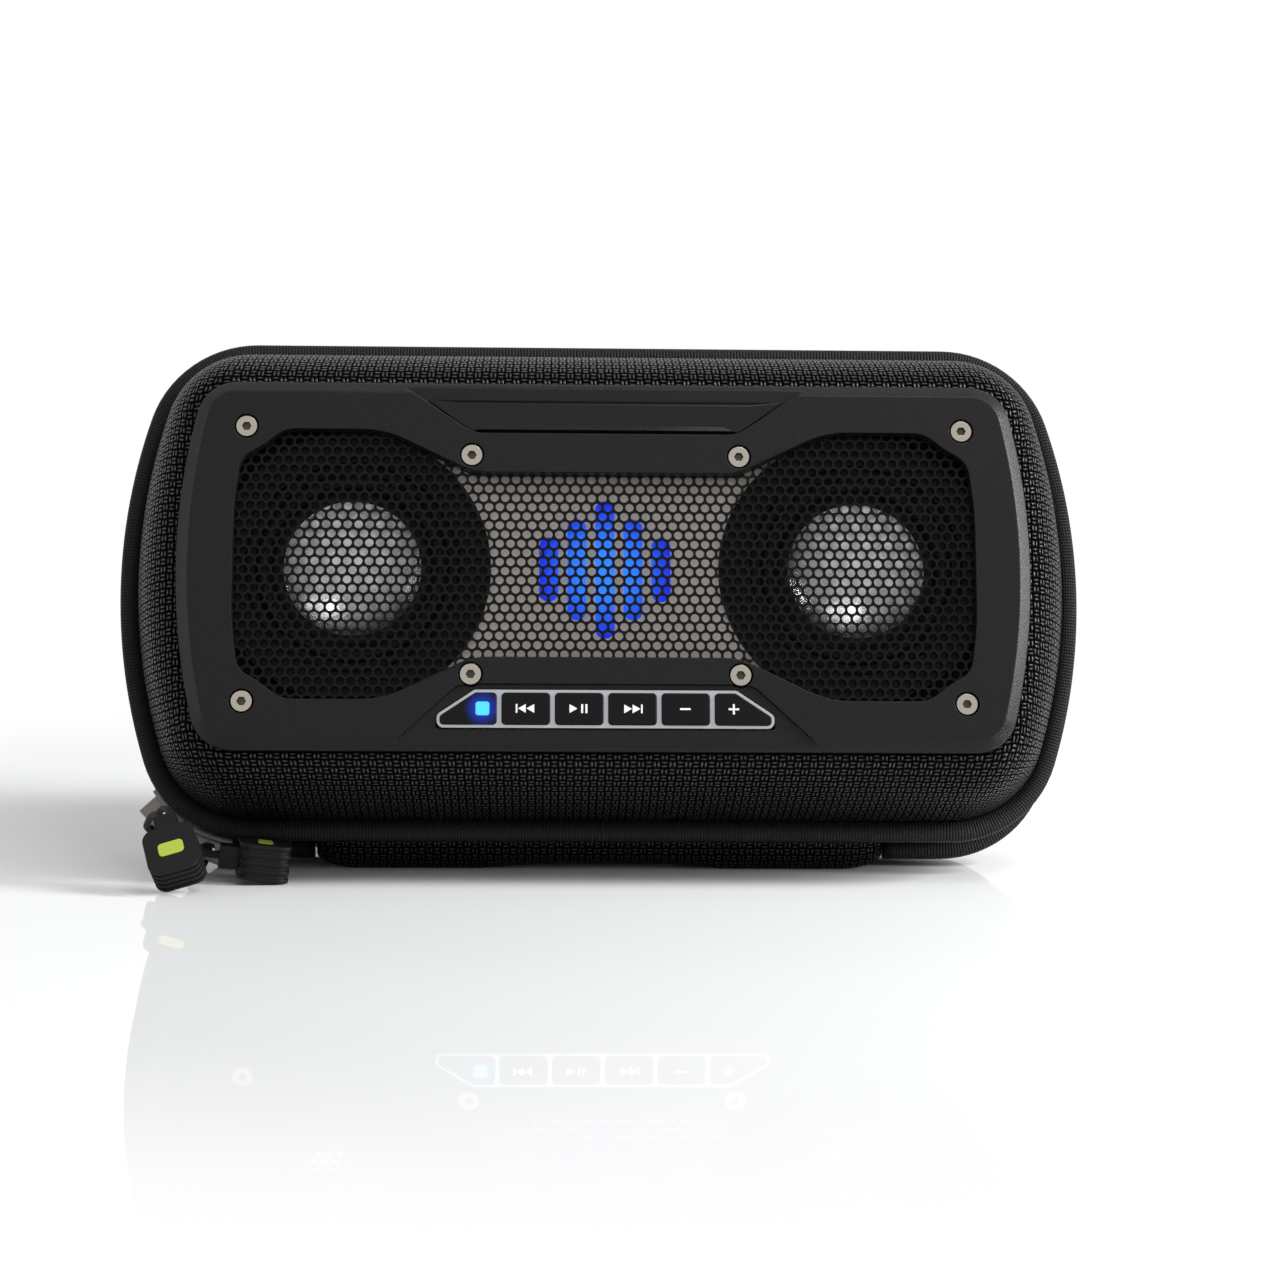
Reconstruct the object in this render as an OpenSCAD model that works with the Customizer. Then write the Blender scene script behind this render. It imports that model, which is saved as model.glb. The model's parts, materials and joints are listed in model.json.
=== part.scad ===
// Portable speaker in a zip-up moulded case.
// The case frame has X to the right, Y to the back and Z up, with the zip's plane at y = 0. stand() leans
// it back onto its foot. A height h in a profile is measured forward from the zip, so h = -y.

/* [Case] */
// Width over the zip bindings
case_w = 190; // [180:1:210]
// Height over the front binding
case_h = 100; // [95:1:120]
// Extra height of the rear half
rear_extra = 3.6; // [2.4:0.2:4]
// Bulge radius of the left and right sides
side_r = 115; // [90:1:140]
// Radius of the four corners
corner_r = 22; // [18:1:28]
// Thickness of the moulded shells
wall = 2.5; // [1.8:0.1:3.5]
// Zip to the front shell's flat face
front_depth = 28; // [27:1:34]
// Zip to the back of the rear shell
rear_depth = 26; // [20:1:34]
// Clearance between moving fabric parts
soft_gap = 0.3; // [0.2:0.05:0.5]

/* [Zip and binding] */
// How far the bindings stand out from the shells
band_w = 4; // [3:0.1:5]
// Depth of each binding, front to back
band_depth = 3.8; // [3:0.1:5]
// Width of one zip tape, from its teeth to its binding
tape_w = 3.2; // [2.8:0.1:4]
// Thickness of the zip tape
tape_t = 1.7; // [1:0.1:2]
// Height of the zip teeth above the tape
tooth_h = 1.2; // [0.8:0.1:1.5]
// Width of the teeth on one tape
tooth_w = 1.2; // [0.8:0.1:1.6]

/* [Stance] */
// Lean of the case from upright
lean = 17; // [10:1:20]
// How far the case's bottom edge stands off the table
foot_gap = 2.8; // [2.4:0.1:4]
// Half length of the hinge spine
spine_half = 56; // [40:1:58]
// Front edge of the foot
foot_front = 3; // [1:0.5:5]
// Rear edge of the foot
foot_back = 13.7; // [11:0.1:14]

/* [Bezel] */
// Width of the bezel
bezel_w = 164; // [158:1:180]
// Height of the bezel
bezel_h = 72; // [70:1:80]
// Bulge radius of its sides
bezel_side_r = 130; // [100:5:200]
// Radius of its corners
bezel_corner_r = 8; // [6:0.5:10]
// Thickness of its frame
bezel_t = 3; // [2.6:0.1:4]
// Width of its chamfer
chamfer_w = 2.3; // [1:0.1:3]
// Height of its chamfer
chamfer_h = 1.7; // [1:0.1:2]
// Depth of the label and key pockets
pocket_d = 0.9; // [0.5:0.1:1.2]
// How far the shell's lip reaches under the bezel
lip = 2.8; // [2:0.1:3.2]
// Shell face that shows round the bezel
face_margin = 1.5; // [1:0.1:3]

/* [Grille] */
// Half width of the window
window_x = 71.4; // [68:0.2:72]
// Half height of the window's ends
window_z = 26.3; // [26:0.1:27]
// Half height of the window's waist
waist_z = 18; // [17:0.2:18.6]
// Half width of the waist
waist_x = 25.3; // [24:0.1:25.6]
// Thickness of the perforated sheet
grille_t = 0.6; // [0.5:0.1:1]
// Sheet hidden behind the window's edge
grille_edge = 2.5; // [1.5:0.1:2.6]

/* [Screws] */
// Half spacing of the outer bezel screws, across
outer_x = 68.9; // [68:0.1:70]
// Half spacing of the outer bezel screws, up
outer_z = 26.8; // [26.5:0.1:28]
// Half spacing of the inner bezel screws, across
inner_x = 25.7; // [25.5:0.1:27]
// Half spacing of the inner bezel screws, up
inner_z = 21.4; // [21.2:0.1:22]
// Radius of the screw heads
head_r = 2; // [1.7:0.1:2.1]
// Height of the screw heads
head_h = 1.4; // [1:0.1:1.6]
// Radius of the screw shanks
shank_r = 1.25; // [1:0.05:1.4]
// Clearance round heads and shanks
screw_gap = 0.1; // [0.05:0.05:0.3]

/* [Drivers] */
// Distance of each driver from the middle
driver_x = 48.5; // [48:0.1:50]
// Radius of the aluminium cone
cone_r = 14; // [12:0.2:14.4]
// Bowl radius of the cone
cone_bowl_r = 24; // [20:1:30]
// Radius of the driver's tub
tub_r = 20; // [19.5:0.1:21]
// Radius of the driver's flange
flange_r = 24; // [23.6:0.1:24.4]
// Radius of the trim disc
trim_r = 26.5; // [26.2:0.1:27]
// Radius of the voice coil
coil_r = 10; // [8:0.2:10.4]
// Radius of the magnet
magnet_r = 16; // [13:0.5:17]

/* [Keys] */
// Distance between key middles
key_pitch = 10.12; // [9.5:0.02:10.4]
// Height of a key
key_h = 6; // [5:0.1:6.2]
// Web between two keys
key_web = 1.1; // [0.9:0.1:1.4]
// Middle of the key row, below the case's middle
key_z = -28; // [-28.2:0.1:-27.6]
// Rim of the key frame
key_rim = 0.65; // [0.5:0.05:0.9]
// Key travel
key_travel = 0.8; // [0.4:0.1:0.9]
// Clearance round a key
key_gap = 0.12; // [0.1:0.02:0.2]

/* [Label bar] */
// Lower edge of the bar
label_low = 26.1; // [26:0.1:26.6]
// Upper edge of the bar
label_high = 32.4; // [31:0.1:33]
// Half length of its lower edge
label_low_x = 25.8; // [22:0.2:25.9]
// Half length of its upper edge
label_high_x = 34.3; // [30:0.2:35]
// How far the bar stands out of its pocket
label_t = 1.5; // [0.8:0.1:1.8]

/* [Light] */
// Number of light bars
bar_count = 5; // [3:2:7]
// Distance between bars
bar_pitch = 5.4; // [4:0.1:6]
// Width of a bar
bar_w = 3.6; // [2:0.1:3.8]
// Height of the middle bar
bar_h = 27; // [20:0.5:28]
// Drop in height from each bar to the next
bar_step = 7.2; // [2:0.2:8]

/* [Inside] */
// Width of the back box
box_w = 150; // [148:1:152]
// Height of the back box
box_h = 60; // [58:0.5:61]
// How far the back box passes the zip's plane
box_back = 2.5; // [1:0.1:3]
// Wall of the back box
box_wall = 2; // [1.5:0.1:2.5]
// Width, height and thickness of the battery
battery_size = [46, 40, 8.8];
// Width and height of the main board
board_size = [56, 50];
// Radius of the line-in jack's bore
jack_r = 1.8; // [1.75:0.05:1.9]
// Depth of the line-in jack's bore
jack_depth = 12; // [8:0.5:13]

/* [Sliders and pulls] */
// Angle of the left slider round the lower left corner
slider_a_at = 223; // [221:1:225]
// Angle of the lower slider round the same corner
slider_b_at = 250; // [248:1:252]
// Half the angle that a slider covers
slider_half = 11; // [9:0.5:11.5]
// Thickness of a slider's plate
slider_t = 1.5; // [1:0.1:1.8]
// Height of a slider's bridge
bridge_h = 4; // [3.6:0.1:4.4]
// Side of a square rubber pull
pull_side = 10; // [9:0.2:11]
// Thickness of a pull
pull_t = 7; // [6:0.2:8]
// Diameter of the pulls' cord
cord_d = 1.3; // [1:0.1:1.6]

/* [Hidden] */
$fn = 48;
sides = ["l", "r"];

// Steps along a quarter outline: half a side, then a corner
side_steps = 4;
corner_steps = 8;
// Face-to-face clearance between fixed parts
seat = 0.05;
// Overrun of a cut past the face that it opens
past = 1;

rear_h = case_h + rear_extra;
lift = case_h / 2 + foot_gap;

// Heights forward of the zip's plane
face_h = front_depth;
bezel_top = face_h + bezel_t;
pocket_h = bezel_top - pocket_d;
lip_back = face_h - wall;
gasket_t = 0.45;
flange_top = lip_back - gasket_t - seat;
baffle_back = flange_top - 2.4;
recess_h = flange_top;
plateau_h = face_h - seat;
tape_in = band_w - seat;

// The standing frame: the foot's plane in case coordinates, and the foot's middle
function foot_z(y) = (y * sin(lean) - lift) / cos(lean);
foot_mid = (foot_front + foot_back) / 2;
foot_y = foot_mid / cos(lean) - lift * tan(lean);

module stand() translate([0, -foot_y, lift]) rotate([-lean, 0, 0]) children();

// Draws a flat shape in X and Z and gives it depth, from one height forward of the zip to another
module slab(low, high) translate([0, -low, 0]) rotate([90, 0, 0]) linear_extrude(high - low) children();

// Turns a profile of [radius, height] about an axis along Y
module turned(x = 0, z = 0) translate([x, 0, z]) rotate([90, 0, 0]) rotate_extrude() children();

// A round hole or pin along Y
module rod(x, z, r, low, high) translate([x, -low, z]) rotate([90, 0, 0]) cylinder(h = high - low, r = r);

function mix(a, b, t) = a * (1 - t) + b * t;

// Quarter outline from the right-hand middle to the end of the top, grown outwards by "grow"
function quarter(w, h, sr, cr, grow) = let (
    cz = h / 2 - cr,
    sx = w / 2 - sr,
    cx = sx + sqrt(pow(sr - cr, 2) - cz * cz),
    turn = atan2(cz, cx - sx))
  concat(
    [for (i = [0 : side_steps]) let (t = turn * i / side_steps)
      [sx + (sr + grow) * cos(t), (sr + grow) * sin(t)]],
    [for (i = [1 : corner_steps]) let (t = mix(turn, 90, i / corner_steps))
      [cx + (cr + grow) * cos(t), cz + (cr + grow) * sin(t)]]);

// Whole outline, from the bottom's right end anticlockwise to the bottom's left end
function outline(w, h, sr, cr, grow = 0) = let (
    q = quarter(w, h, sr, cr, grow),
    n = len(q))
  concat(
    [for (i = [n - 1 : -1 : 1]) [q[i][0], -q[i][1]]],
    [for (i = [0 : n - 1]) q[i]],
    [for (i = [n - 1 : -1 : 0]) [-q[i][0], q[i][1]]],
    [for (i = [1 : n - 1]) [-q[i][0], -q[i][1]]]);

function seam_line(grow) = outline(case_w, case_h, side_r, corner_r, grow);
function rear_line(grow) = outline(case_w, rear_h, side_r, corner_r, grow);
function bezel_line(grow) = outline(bezel_w, bezel_h, bezel_side_r, bezel_corner_r, grow);

// The bottom ends of an open strip reach in to the spine
strip_end = spine_half + 0.5;
function opened(line) =
  concat([[strip_end, line[0][1]]], line, [[-strip_end, line[len(line) - 1][1]]]);

// Joins rings of points into one solid, closed in a loop or capped at both ends
module skin(rings, loop = false) {
  n = len(rings[0]);
  m = len(rings);
  walls = [for (i = [0 : m - (loop ? 1 : 2)], j = [0 : n - 1])
    let (a = i * n + j, b = i * n + (j + 1) % n, c = ((i + 1) % m) * n + (j + 1) % n, d = ((i + 1) % m) * n + j)
    each [[a, b, c], [a, c, d]]];
  caps = loop ? [] : [[for (j = [n - 1 : -1 : 0]) j], [for (j = [0 : n - 1]) (m - 1) * n + j]];
  polyhedron([for (r = rings) each r], concat(walls, caps));
}

// A strip whose profile is a list of [y, grow], swept along an outline between two stations
function strip_rings(lines, profile, first, last) =
  [for (i = [first : last]) [for (j = [0 : len(profile) - 1])
    [lines[j][i][0], profile[j][0], lines[j][i][1]]]];

// Case shells and zip

// How far the shell has turned in towards the bezel at each step up its side
shell_steps = 6;
shell_turn = 78;
shell_rise = 8;
function shell_t(i) = (1 - cos(shell_turn * i / shell_steps)) / (1 - cos(shell_turn));
function shell_h(i, top) = mix(shell_rise, top, sin(shell_turn * i / shell_steps) / sin(shell_turn));

module front_shell() color("#1b1b1d") {
  outer = concat([[0, -band_w, seat * 3]],
    [for (i = [0 : shell_steps]) [shell_t(i), mix(-band_w, face_margin, shell_t(i)), shell_h(i, face_h)]]);
  inner = concat([[1, -lip, face_h], [1, -lip, lip_back]],
    [for (i = [shell_steps : -1 : 0])
      [shell_t(i), mix(-band_w - wall, face_margin - wall, shell_t(i)), shell_h(i, face_h - wall)]],
    [[0, -band_w - wall, seat * 3]]);
  profile = concat(outer, inner);
  lines = [for (p = profile) mix(seam_line(p[1]), bezel_line(p[1]), p[0])];
  stand() skin([for (i = [0 : len(lines[0]) - 1])
    [for (j = [len(profile) - 1 : -1 : 0]) [lines[j][i][0], -profile[j][2], lines[j][i][1]]]], true);
}

rear_band = 3.6;

module rear_shell() color("#1b1b1d") {
  // Each row is how far it has grown to the rear outline, its grow and its y
  straight = rear_depth - 8;
  outer = [[1, -20, rear_depth], [1, -9, rear_depth - 0.5], [1, -5.6, rear_depth - 3],
    [1, -3.9, rear_depth - 5.8], [1, -rear_band, straight], [1, -rear_band, binding_back + band_depth + 1],
    [1, -band_w, binding_back + band_depth], [1, -band_w, binding_back], [0, -band_w, tape_w + 0.2],
    [0, -band_w, seat * 3]];
  inner = [for (k = [len(outer) - 1 : -1 : 0]) let (p = outer[k])
    [p[0], p[1] - wall * (k < 2 ? 0.6 : 1), p[2] > straight ? p[2] - wall * (k < 2 ? 1 : 0.8) : p[2]]];
  rows = concat(outer, inner);
  stand() skin([for (p = rows) let (line = mix(seam_line(p[1]), rear_line(p[1]), p[0]))
    [for (q = line) [q[0], p[2], q[1]]]]);
}

// Rounded profile of a binding between two depths
function binding_profile(front, back) = [[front, -tape_in], [front, -1.3], [front + 0.5, -0.4],
  [front + 1.2, 0], [back - 1.2, 0], [back - 0.5, -0.4], [back, -1.3], [back, -tape_in]];

binding_front = -tape_w - seat * 3 - seat;

module front_binding() color("#141415") {
  profile = binding_profile(binding_front - band_depth, binding_front);
  lines = [for (p = profile) seam_line(p[1])];
  stand() skin(strip_rings(lines, profile, 0, len(lines[0]) - 1), true);
}

binding_back = tape_w + 0.7;

module rear_binding() color("#141415") {
  profile = binding_profile(binding_back, binding_back + band_depth);
  // The last two rows sit on the rear shell as it widens
  lines = [for (p = profile) opened(rear_line(p[1]))];
  stand() skin(strip_rings(lines, profile, 0, len(lines[0]) - 1));
}

// Stepped profile of one tape with its teeth, mirrored front to back by "side"
function tape_profile(side) = let (near = seat * 3, far = near + tape_w, tape_top = tape_t - band_w)
  [for (p = [[far, -tape_in], [far, tape_top], [near + tooth_w, tape_top],
    [near + tooth_w, tape_top + tooth_h], [near, tape_top + tooth_h], [near, -tape_in]]) [side * p[0], p[1]]];

module tape(side, first, last) {
  profile = side > 0 ? [for (k = [5 : -1 : 0]) tape_profile(side)[k]] : tape_profile(side);
  lines = [for (p = profile) opened(seam_line(p[1]))];
  stand() skin(strip_rings(lines, profile, first, last));
}

station_count = len(opened(seam_line(0)));
tail_first = station_count - corner_steps - 1;

module zip_front() color("#101011") tape(-1, 0, station_count - 1);
module zip_rear() color("#101011") tape(1, 0, tail_first);

module zip_tail() color("#101011") {
  profile = [for (k = [5 : -1 : 0]) tape_profile(1)[k]];
  lines = [for (p = profile) let (line = opened(seam_line(p[1])))
    concat([mix(line[tail_first], line[tail_first + 1], 0.1)], [for (i = [tail_first + 1 : station_count - 1]) line[i]])];
  stand() skin(strip_rings(lines, profile, 0, len(lines[0]) - 1));
}

// Fabric spine under the zip's open side; its flat underside is the foot
module hinge_spine() color("#1b1b1d") {
  shell_low = -case_h / 2 + band_w;
  rear_low = -rear_h / 2 + rear_band - soft_gap;
  band_low = -rear_h / 2 + band_w - soft_gap - 0.1;
  section = [[-binding_front - seat, shell_low - seat], [-binding_front - seat, -case_h / 2 + 0.4],
    [-foot_front + 2.4, foot_z(foot_front) + 1.3], [-foot_front, foot_z(foot_front)],
    [-foot_back, foot_z(foot_back)], [-foot_back, rear_low - 0.1],
    [-binding_back - band_depth - 1, rear_low - 0.1], [-binding_back - band_depth + 0.1, band_low],
    [-binding_back + 0.4, band_low], [-tape_w + 0.3, shell_low - soft_gap - 0.1],
    [-0.3, shell_low - soft_gap - 0.1], [0.15, shell_low - seat]];
  stand() translate([-spine_half, 0, 0]) rotate([90, 0, 90]) linear_extrude(2 * spine_half)
    polygon([for (p = section) [-p[0], p[1]]]);
}

// Sliders, their cords and pulls

corner_x = quarter(case_w, case_h, side_r, corner_r, 0)[side_steps + corner_steps][0];
corner_z = case_h / 2 - corner_r;
tooth_top = corner_r - band_w + tape_t + tooth_h;
slider_r = tooth_top + soft_gap;
plate_r = slider_r + slider_t;
bridge_hole = 1.3;
bridge_mid = plate_r + bridge_h / 2 - 0.3;

module slider(at) color("#3f4246") {
  deep = tape_w - 0.1;
  foot_r = corner_r - band_w + tape_t + soft_gap;
  inside = deep - 0.6;
  bridge_half = 3.6;
  stand() translate([-corner_x, 0, -corner_z]) rotate([90, 0, 0]) difference() {
    union() {
      rotate([0, 0, at - slider_half]) rotate_extrude(angle = 2 * slider_half)
        polygon([[foot_r, -deep], [plate_r, -deep], [plate_r, deep], [foot_r, deep], [foot_r, inside],
          [slider_r, inside], [slider_r, -inside], [foot_r, -inside]]);
      rotate([0, 0, at]) translate([plate_r - 0.4, -bridge_half, -1]) cube([bridge_h + 0.4, 2 * bridge_half, 2]);
    }
    rotate([0, 0, at]) translate([bridge_mid, 0, -3]) cylinder(h = 6, r = bridge_hole);
  }
}

// A tube of eight sides along hand-set points, level across its run
module cord(route) {
  r = cord_d / 2;
  last = len(route) - 1;
  function along(i) = let (d = route[min(i + 1, last)] - route[max(i - 1, 0)]) d / norm(d);
  side = [for (i = [0 : last]) let (c = cross(along(i), [0.2, 0.1, 1])) c / norm(c)];
  rings = [for (i = [0 : last]) let (up = cross(side[i], along(i)))
    [for (k = [0 : 7]) route[i] + r * (cos(45 * k) * side[i] + sin(45 * k) * up)]];
  color("#17181a") skin(rings);
}

// Routes of the two cords, in millimetres from the foot's middle
route_a = [[-82.3, -26.9, 13.2], [-83.2, -24.2, 14.2], [-84.4, -20.1, 14], [-85.5, -15.3, 13],
  [-86.3, -10.9, 11.7], [-86.6, -7.6, 10.7], [-86.5, -5.1, 10], [-86.7, -3.9, 9.4], [-87.7, -3.7,
  8.4], [-88.8, -4.5, 7.5], [-89, -6.3, 7.9], [-88.9, -9.9, 9], [-88, -14.7, 10.8], [-86.8, -19.7,
  12.6], [-85.5, -24.1, 13.4], [-84.5, -27, 12.6]];
route_b = [[-73.6, -22.4, 5.3], [-76, -22, 5.6], [-77.2, -20.4, 5.9], [-77.6, -17.9, 5.9], [-77.5,
  -14.9, 5.8], [-77.2, -11.7, 5.4], [-77, -8.6, 4.5], [-77, -6.9, 3.9], [-77.1, -5.7, 3.2], [-77.6,
  -5.7, 1.9], [-78.1, -6.6, 0.8], [-78.2, -8.4, 0.8], [-78.5, -11.6, 1.2], [-78.7, -14.5, 2.2],
  [-78.6, -17, 3.4], [-78, -18.8, 4.5], [-76.5, -19.9, 5.2], [-73.9, -20.1, 5.3]];

module pull_cord_a() cord(route_a);
module pull_cord_b() cord(route_b);

// Rubber pull in its own frame: its faces look along Y, and its neck is on the corner at -X, +Z
neck_w = 4.4;
neck_l = 3.6;
pull_round = 2.4;

module pull_square(side) offset(r = pull_round) square(side - 2 * pull_round, center = true);

module pull() {
  groove = 0.5;
  ridge = pull_t / 9;
  difference() {
    union() {
      for (k = [-4 : 4]) slab(k * ridge - ridge / 2 - 0.01, k * ridge + ridge / 2 + 0.01)
        pull_square(pull_side - (k % 2 == 0 ? 0 : groove));
      translate([0, 0, pull_side / 2 - 0.6]) translate([-neck_w / 2, -neck_w / 2, 0])
        cube([neck_w, neck_w, neck_l + 0.6]);
    }
    for (side = [-1, 1]) inlay_place(side) slab(-0.1, inlay_d + 0.1) inlay_shape(0);
  }
}

inlay_d = 0.5;

module inlay_place(side) translate([0, side < 0 ? -pull_t / 2 + inlay_d : pull_t / 2, 0]) children();
module inlay_shape(gap) offset(r = 0.9 - gap) square([5 - 1.8, 3 - 1.8], center = true);

// The two faces' inlays, set flush
module inlays() for (side = [-1, 1]) inlay_place(side) slab(side < 0 ? seat : 0, inlay_d - (side < 0 ? 0 : seat))
  inlay_shape(seat);

module place_a() translate([-81.3, -32.5, 6.8]) rotate([-42, -16, 4]) children();
module place_b() translate([-65.4, -20.3, 4.2]) rotate([0, 7, 6]) rotate([90, 0, 0]) rotate([0, -90, 0]) children();

module pull_a() color("#1d1e20") place_a() pull();
module pull_b() color("#1d1e20") place_b() pull();
module pull_inlay_a() color("#b5c832") place_a() inlays();
module pull_inlay_b() color("#b5c832") place_b() inlays();

// Front frame

// Window: two wide ends with notched corners, joined by a narrow waist
window_notch = [[70, 20.8], [65.5, 23.1], [61.3, 26.3]];
window_shoulder = 42.2;
module window(grow = 0) {
  side = [for (i = [0 : 4]) [mix(window_x, window_notch[0][0], pow(i / 4, 2)), window_notch[0][1] * i / 4]];
  half = concat(side, [window_notch[1], [window_notch[2][0], window_z], [window_shoulder, window_z],
    [waist_x, waist_z]]);
  n = len(half);
  round_r = 1.2;
  offset(r = round_r + grow) offset(delta = -round_r) polygon(concat(half,
    [for (i = [n - 1 : -1 : 0]) [-half[i][0], half[i][1]]],
    [for (i = [1 : n - 1]) [-half[i][0], -half[i][1]]],
    [for (i = [n - 1 : -1 : 1]) [half[i][0], -half[i][1]]]));
}

module at_screws() for (sx = [-1, 1], sz = [-1, 1]) {
  translate([sx * outer_x, 0, sz * outer_z]) children();
  translate([sx * inner_x, 0, sz * inner_z]) children();
}

label_pocket = [[-waist_x, label_low - 0.3], [waist_x, label_low - 0.3], [41.3, 36.5], [-41.3, 36.5]];
key_pocket = [[-27.9, -23.3], [27.9, -23.3], [42, -36.5], [-42, -36.5]];

module bezel() color("#222325") stand() difference() {
  union() {
    slab(face_h, bezel_top - chamfer_h) polygon(bezel_line(0));
    hull() {
      slab(bezel_top - chamfer_h - 0.01, bezel_top - chamfer_h) polygon(bezel_line(0));
      slab(bezel_top - 0.01, bezel_top) polygon(bezel_line(-chamfer_w));
    }
  }
  slab(face_h - past, bezel_top + past) window();
  slab(face_h - past, face_h + grille_t + 0.15) window(grille_edge + 0.2);
  slab(pocket_h, bezel_top + past) polygon(label_pocket);
  slab(pocket_h, bezel_top + past) polygon(key_pocket);
  slab(face_h - past, bezel_top + past) key_outline(seat);
  at_screws() {
    rod(0, 0, shank_r + screw_gap, face_h - past, bezel_top + past);
    rod(0, 0, head_r + 3 * screw_gap, bezel_top - head_h - 0.2, bezel_top + past);
  }
}

module label_bar() color("#0b0b0d") stand() hull() {
  slab(pocket_h + seat, pocket_h + 0.3) polygon([[-label_low_x, label_low], [label_low_x, label_low],
    [label_high_x, label_high], [-label_high_x, label_high]]);
  slab(pocket_h + label_t - 0.2, pocket_h + label_t) polygon([[3 - label_low_x, label_low + 1.1],
    [label_low_x - 3, label_low + 1.1], [label_high_x - 6, label_high - 1], [6 - label_high_x, label_high - 1]]);
}

module grille() color("#0e0e0f") stand() difference() {
  slab(face_h + seat, face_h + grille_t + seat) window(grille_edge);
  at_screws() rod(0, 0, shank_r + 4 * screw_gap, face_h - past, bezel_top);
}

module bezel_screws() color("#c9c9c7") stand() at_screws() difference() {
  union() {
    rod(0, 0, shank_r, baffle_back + 1, bezel_top - head_h - 0.1);
    rod(0, 0, head_r, bezel_top - head_h - 0.15, bezel_top - 0.2);
  }
  translate([0, -bezel_top + 1.1, 0]) rotate([90, 0, 0]) cylinder(h = 2, r = 0.9, $fn = 6);
}

module front_gasket() color("#2a2a2a") stand() slab(flange_top + 0.02, lip_back - 0.02) difference() {
  polygon(bezel_line(face_margin - wall - 0.1));
  polygon(bezel_line(0.1 - lip));
}

// Keys

key_count = 6;
key_w = key_pitch - key_web;
key_slant = 3.9;
key_tip = 31.4;

// One key's outline; the end keys slope down to a tip
module key_shape(i, grow = 0) {
  end = i == 0 || i == key_count - 1;
  flip = i == key_count - 1 ? 1 : -1;
  left = (i - key_count / 2) * key_pitch + key_web / 2;
  low = key_z - key_h / 2;
  high = key_z + key_h / 2;
  near = 2 * key_pitch + key_web / 2;
  offset(r = 0.7 + grow) offset(delta = -0.7) polygon(end
    ? [[flip * near, low], [flip * near, high], [flip * (near + key_slant), high], [flip * key_tip, low + 1.5],
      [flip * key_tip, low]]
    : [[left, low], [left + key_w, low], [left + key_w, high], [left, high]]);
}

module key_outline(grow = 0) offset(r = key_rim + grow) hull() {
  key_shape(0);
  key_shape(key_count - 1);
}

key_top = bezel_top - 0.1;
key_frame_top = bezel_top - 0.5;
key_frame_back = face_h + 0.2;
key_flange = 0.8;

module key_frame() color("#a8aaad") stand() difference() {
  slab(key_frame_back, key_frame_top) key_outline();
  for (i = [0 : key_count - 1]) slab(key_frame_back - past, key_top + past) key_shape(i, key_gap);
}

module key(i) {
  flange_high = key_frame_back - seat * 2;
  slab(flange_high - 0.01, key_top) key_shape(i);
  slab(flange_high - key_flange, flange_high) key_shape(i, 0.3);
}

light_x = -(2 * key_pitch + key_web / 2 + 2.6);
light_side = 2.6;

module light_square(grow = 0) translate([light_x, key_z]) offset(r = 0.5 + grow)
  square(light_side - 1, center = true);

module key_power() color("#1a1b1d") stand() difference() {
  key(0);
  slab(key_frame_back - 2, key_top + past) light_square(seat);
}

module power_light() color("#2f8bff") stand() slab(key_frame_back - 0.8, key_top) light_square();
module key_prev() color("#1a1b1d") stand() key(1);
module key_play() color("#1a1b1d") stand() key(2);
module key_next() color("#1a1b1d") stand() key(3);
module key_minus() color("#1a1b1d") stand() key(4);
module key_plus() color("#1a1b1d") stand() key(5);

key_pocket_floor = baffle_back + 1.8;
key_board_t = 0.9;
switch_top = key_frame_back - seat * 2 - key_flange - key_travel - 0.3;
board_low = key_z - key_h / 2 - 0.9;
board_high = key_z + key_h / 2 + 0.9;

module key_board() color("#1e4a33") stand() slab(key_pocket_floor + seat, key_pocket_floor + seat + key_board_t)
  translate([-32, board_low]) square([64, board_high - board_low]);

module key_switches() color("#b8b8b5") stand() for (i = [0 : key_count - 1])
  let (x = (i - (key_count - 1) / 2) * key_pitch, low = key_pocket_floor + key_board_t + 2 * seat) {
    slab(low, switch_top - 0.4) translate([x, key_z]) square([4, 4], center = true);
    rod(x, key_z, 1.2, switch_top - 0.41, switch_top);
  }

// Light

function bar_height(i) = bar_h - abs(i - (bar_count - 1) / 2) * bar_step;
module bars(grow = 0) for (i = [0 : bar_count - 1]) let (r = bar_w / 2 - 0.01)
  translate([(i - (bar_count - 1) / 2) * bar_pitch, 0]) offset(r = r + grow)
    square([0.02, bar_height(i) - 2 * r], center = true);

light_plate = 29;
plate_top = recess_h + 1.1;

module centre_plate() color("#8f8a84") stand() slab(recess_h + seat, plate_top) difference() {
  intersection() {
    window(0.3);
    square([2 * driver_x, 60], center = true);
  }
  for (side = [-1, 1]) translate([side * driver_x, 0]) circle(r = trim_r + seat * 2);
  bars(seat);
}

module light_window() color("#2255ff") stand() {
  slab(recess_h - 0.9, recess_h - seat) square(light_plate, center = true);
  slab(recess_h - seat - 0.01, plate_top + 0.15) bars();
}

module light_board() color("#1e4a33") stand() {
  slab(baffle_back - 1.1, baffle_back - seat) square([36, 36], center = true);
  slab(baffle_back - seat - 0.01, baffle_back + 0.6) for (i = [0 : bar_count - 1], z = [-1, 1])
    translate([(i - (bar_count - 1) / 2) * bar_pitch, z * 4]) square([2, 2], center = true);
}

// Baffle and drivers

tub_hole = tub_r + 0.2;

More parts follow.
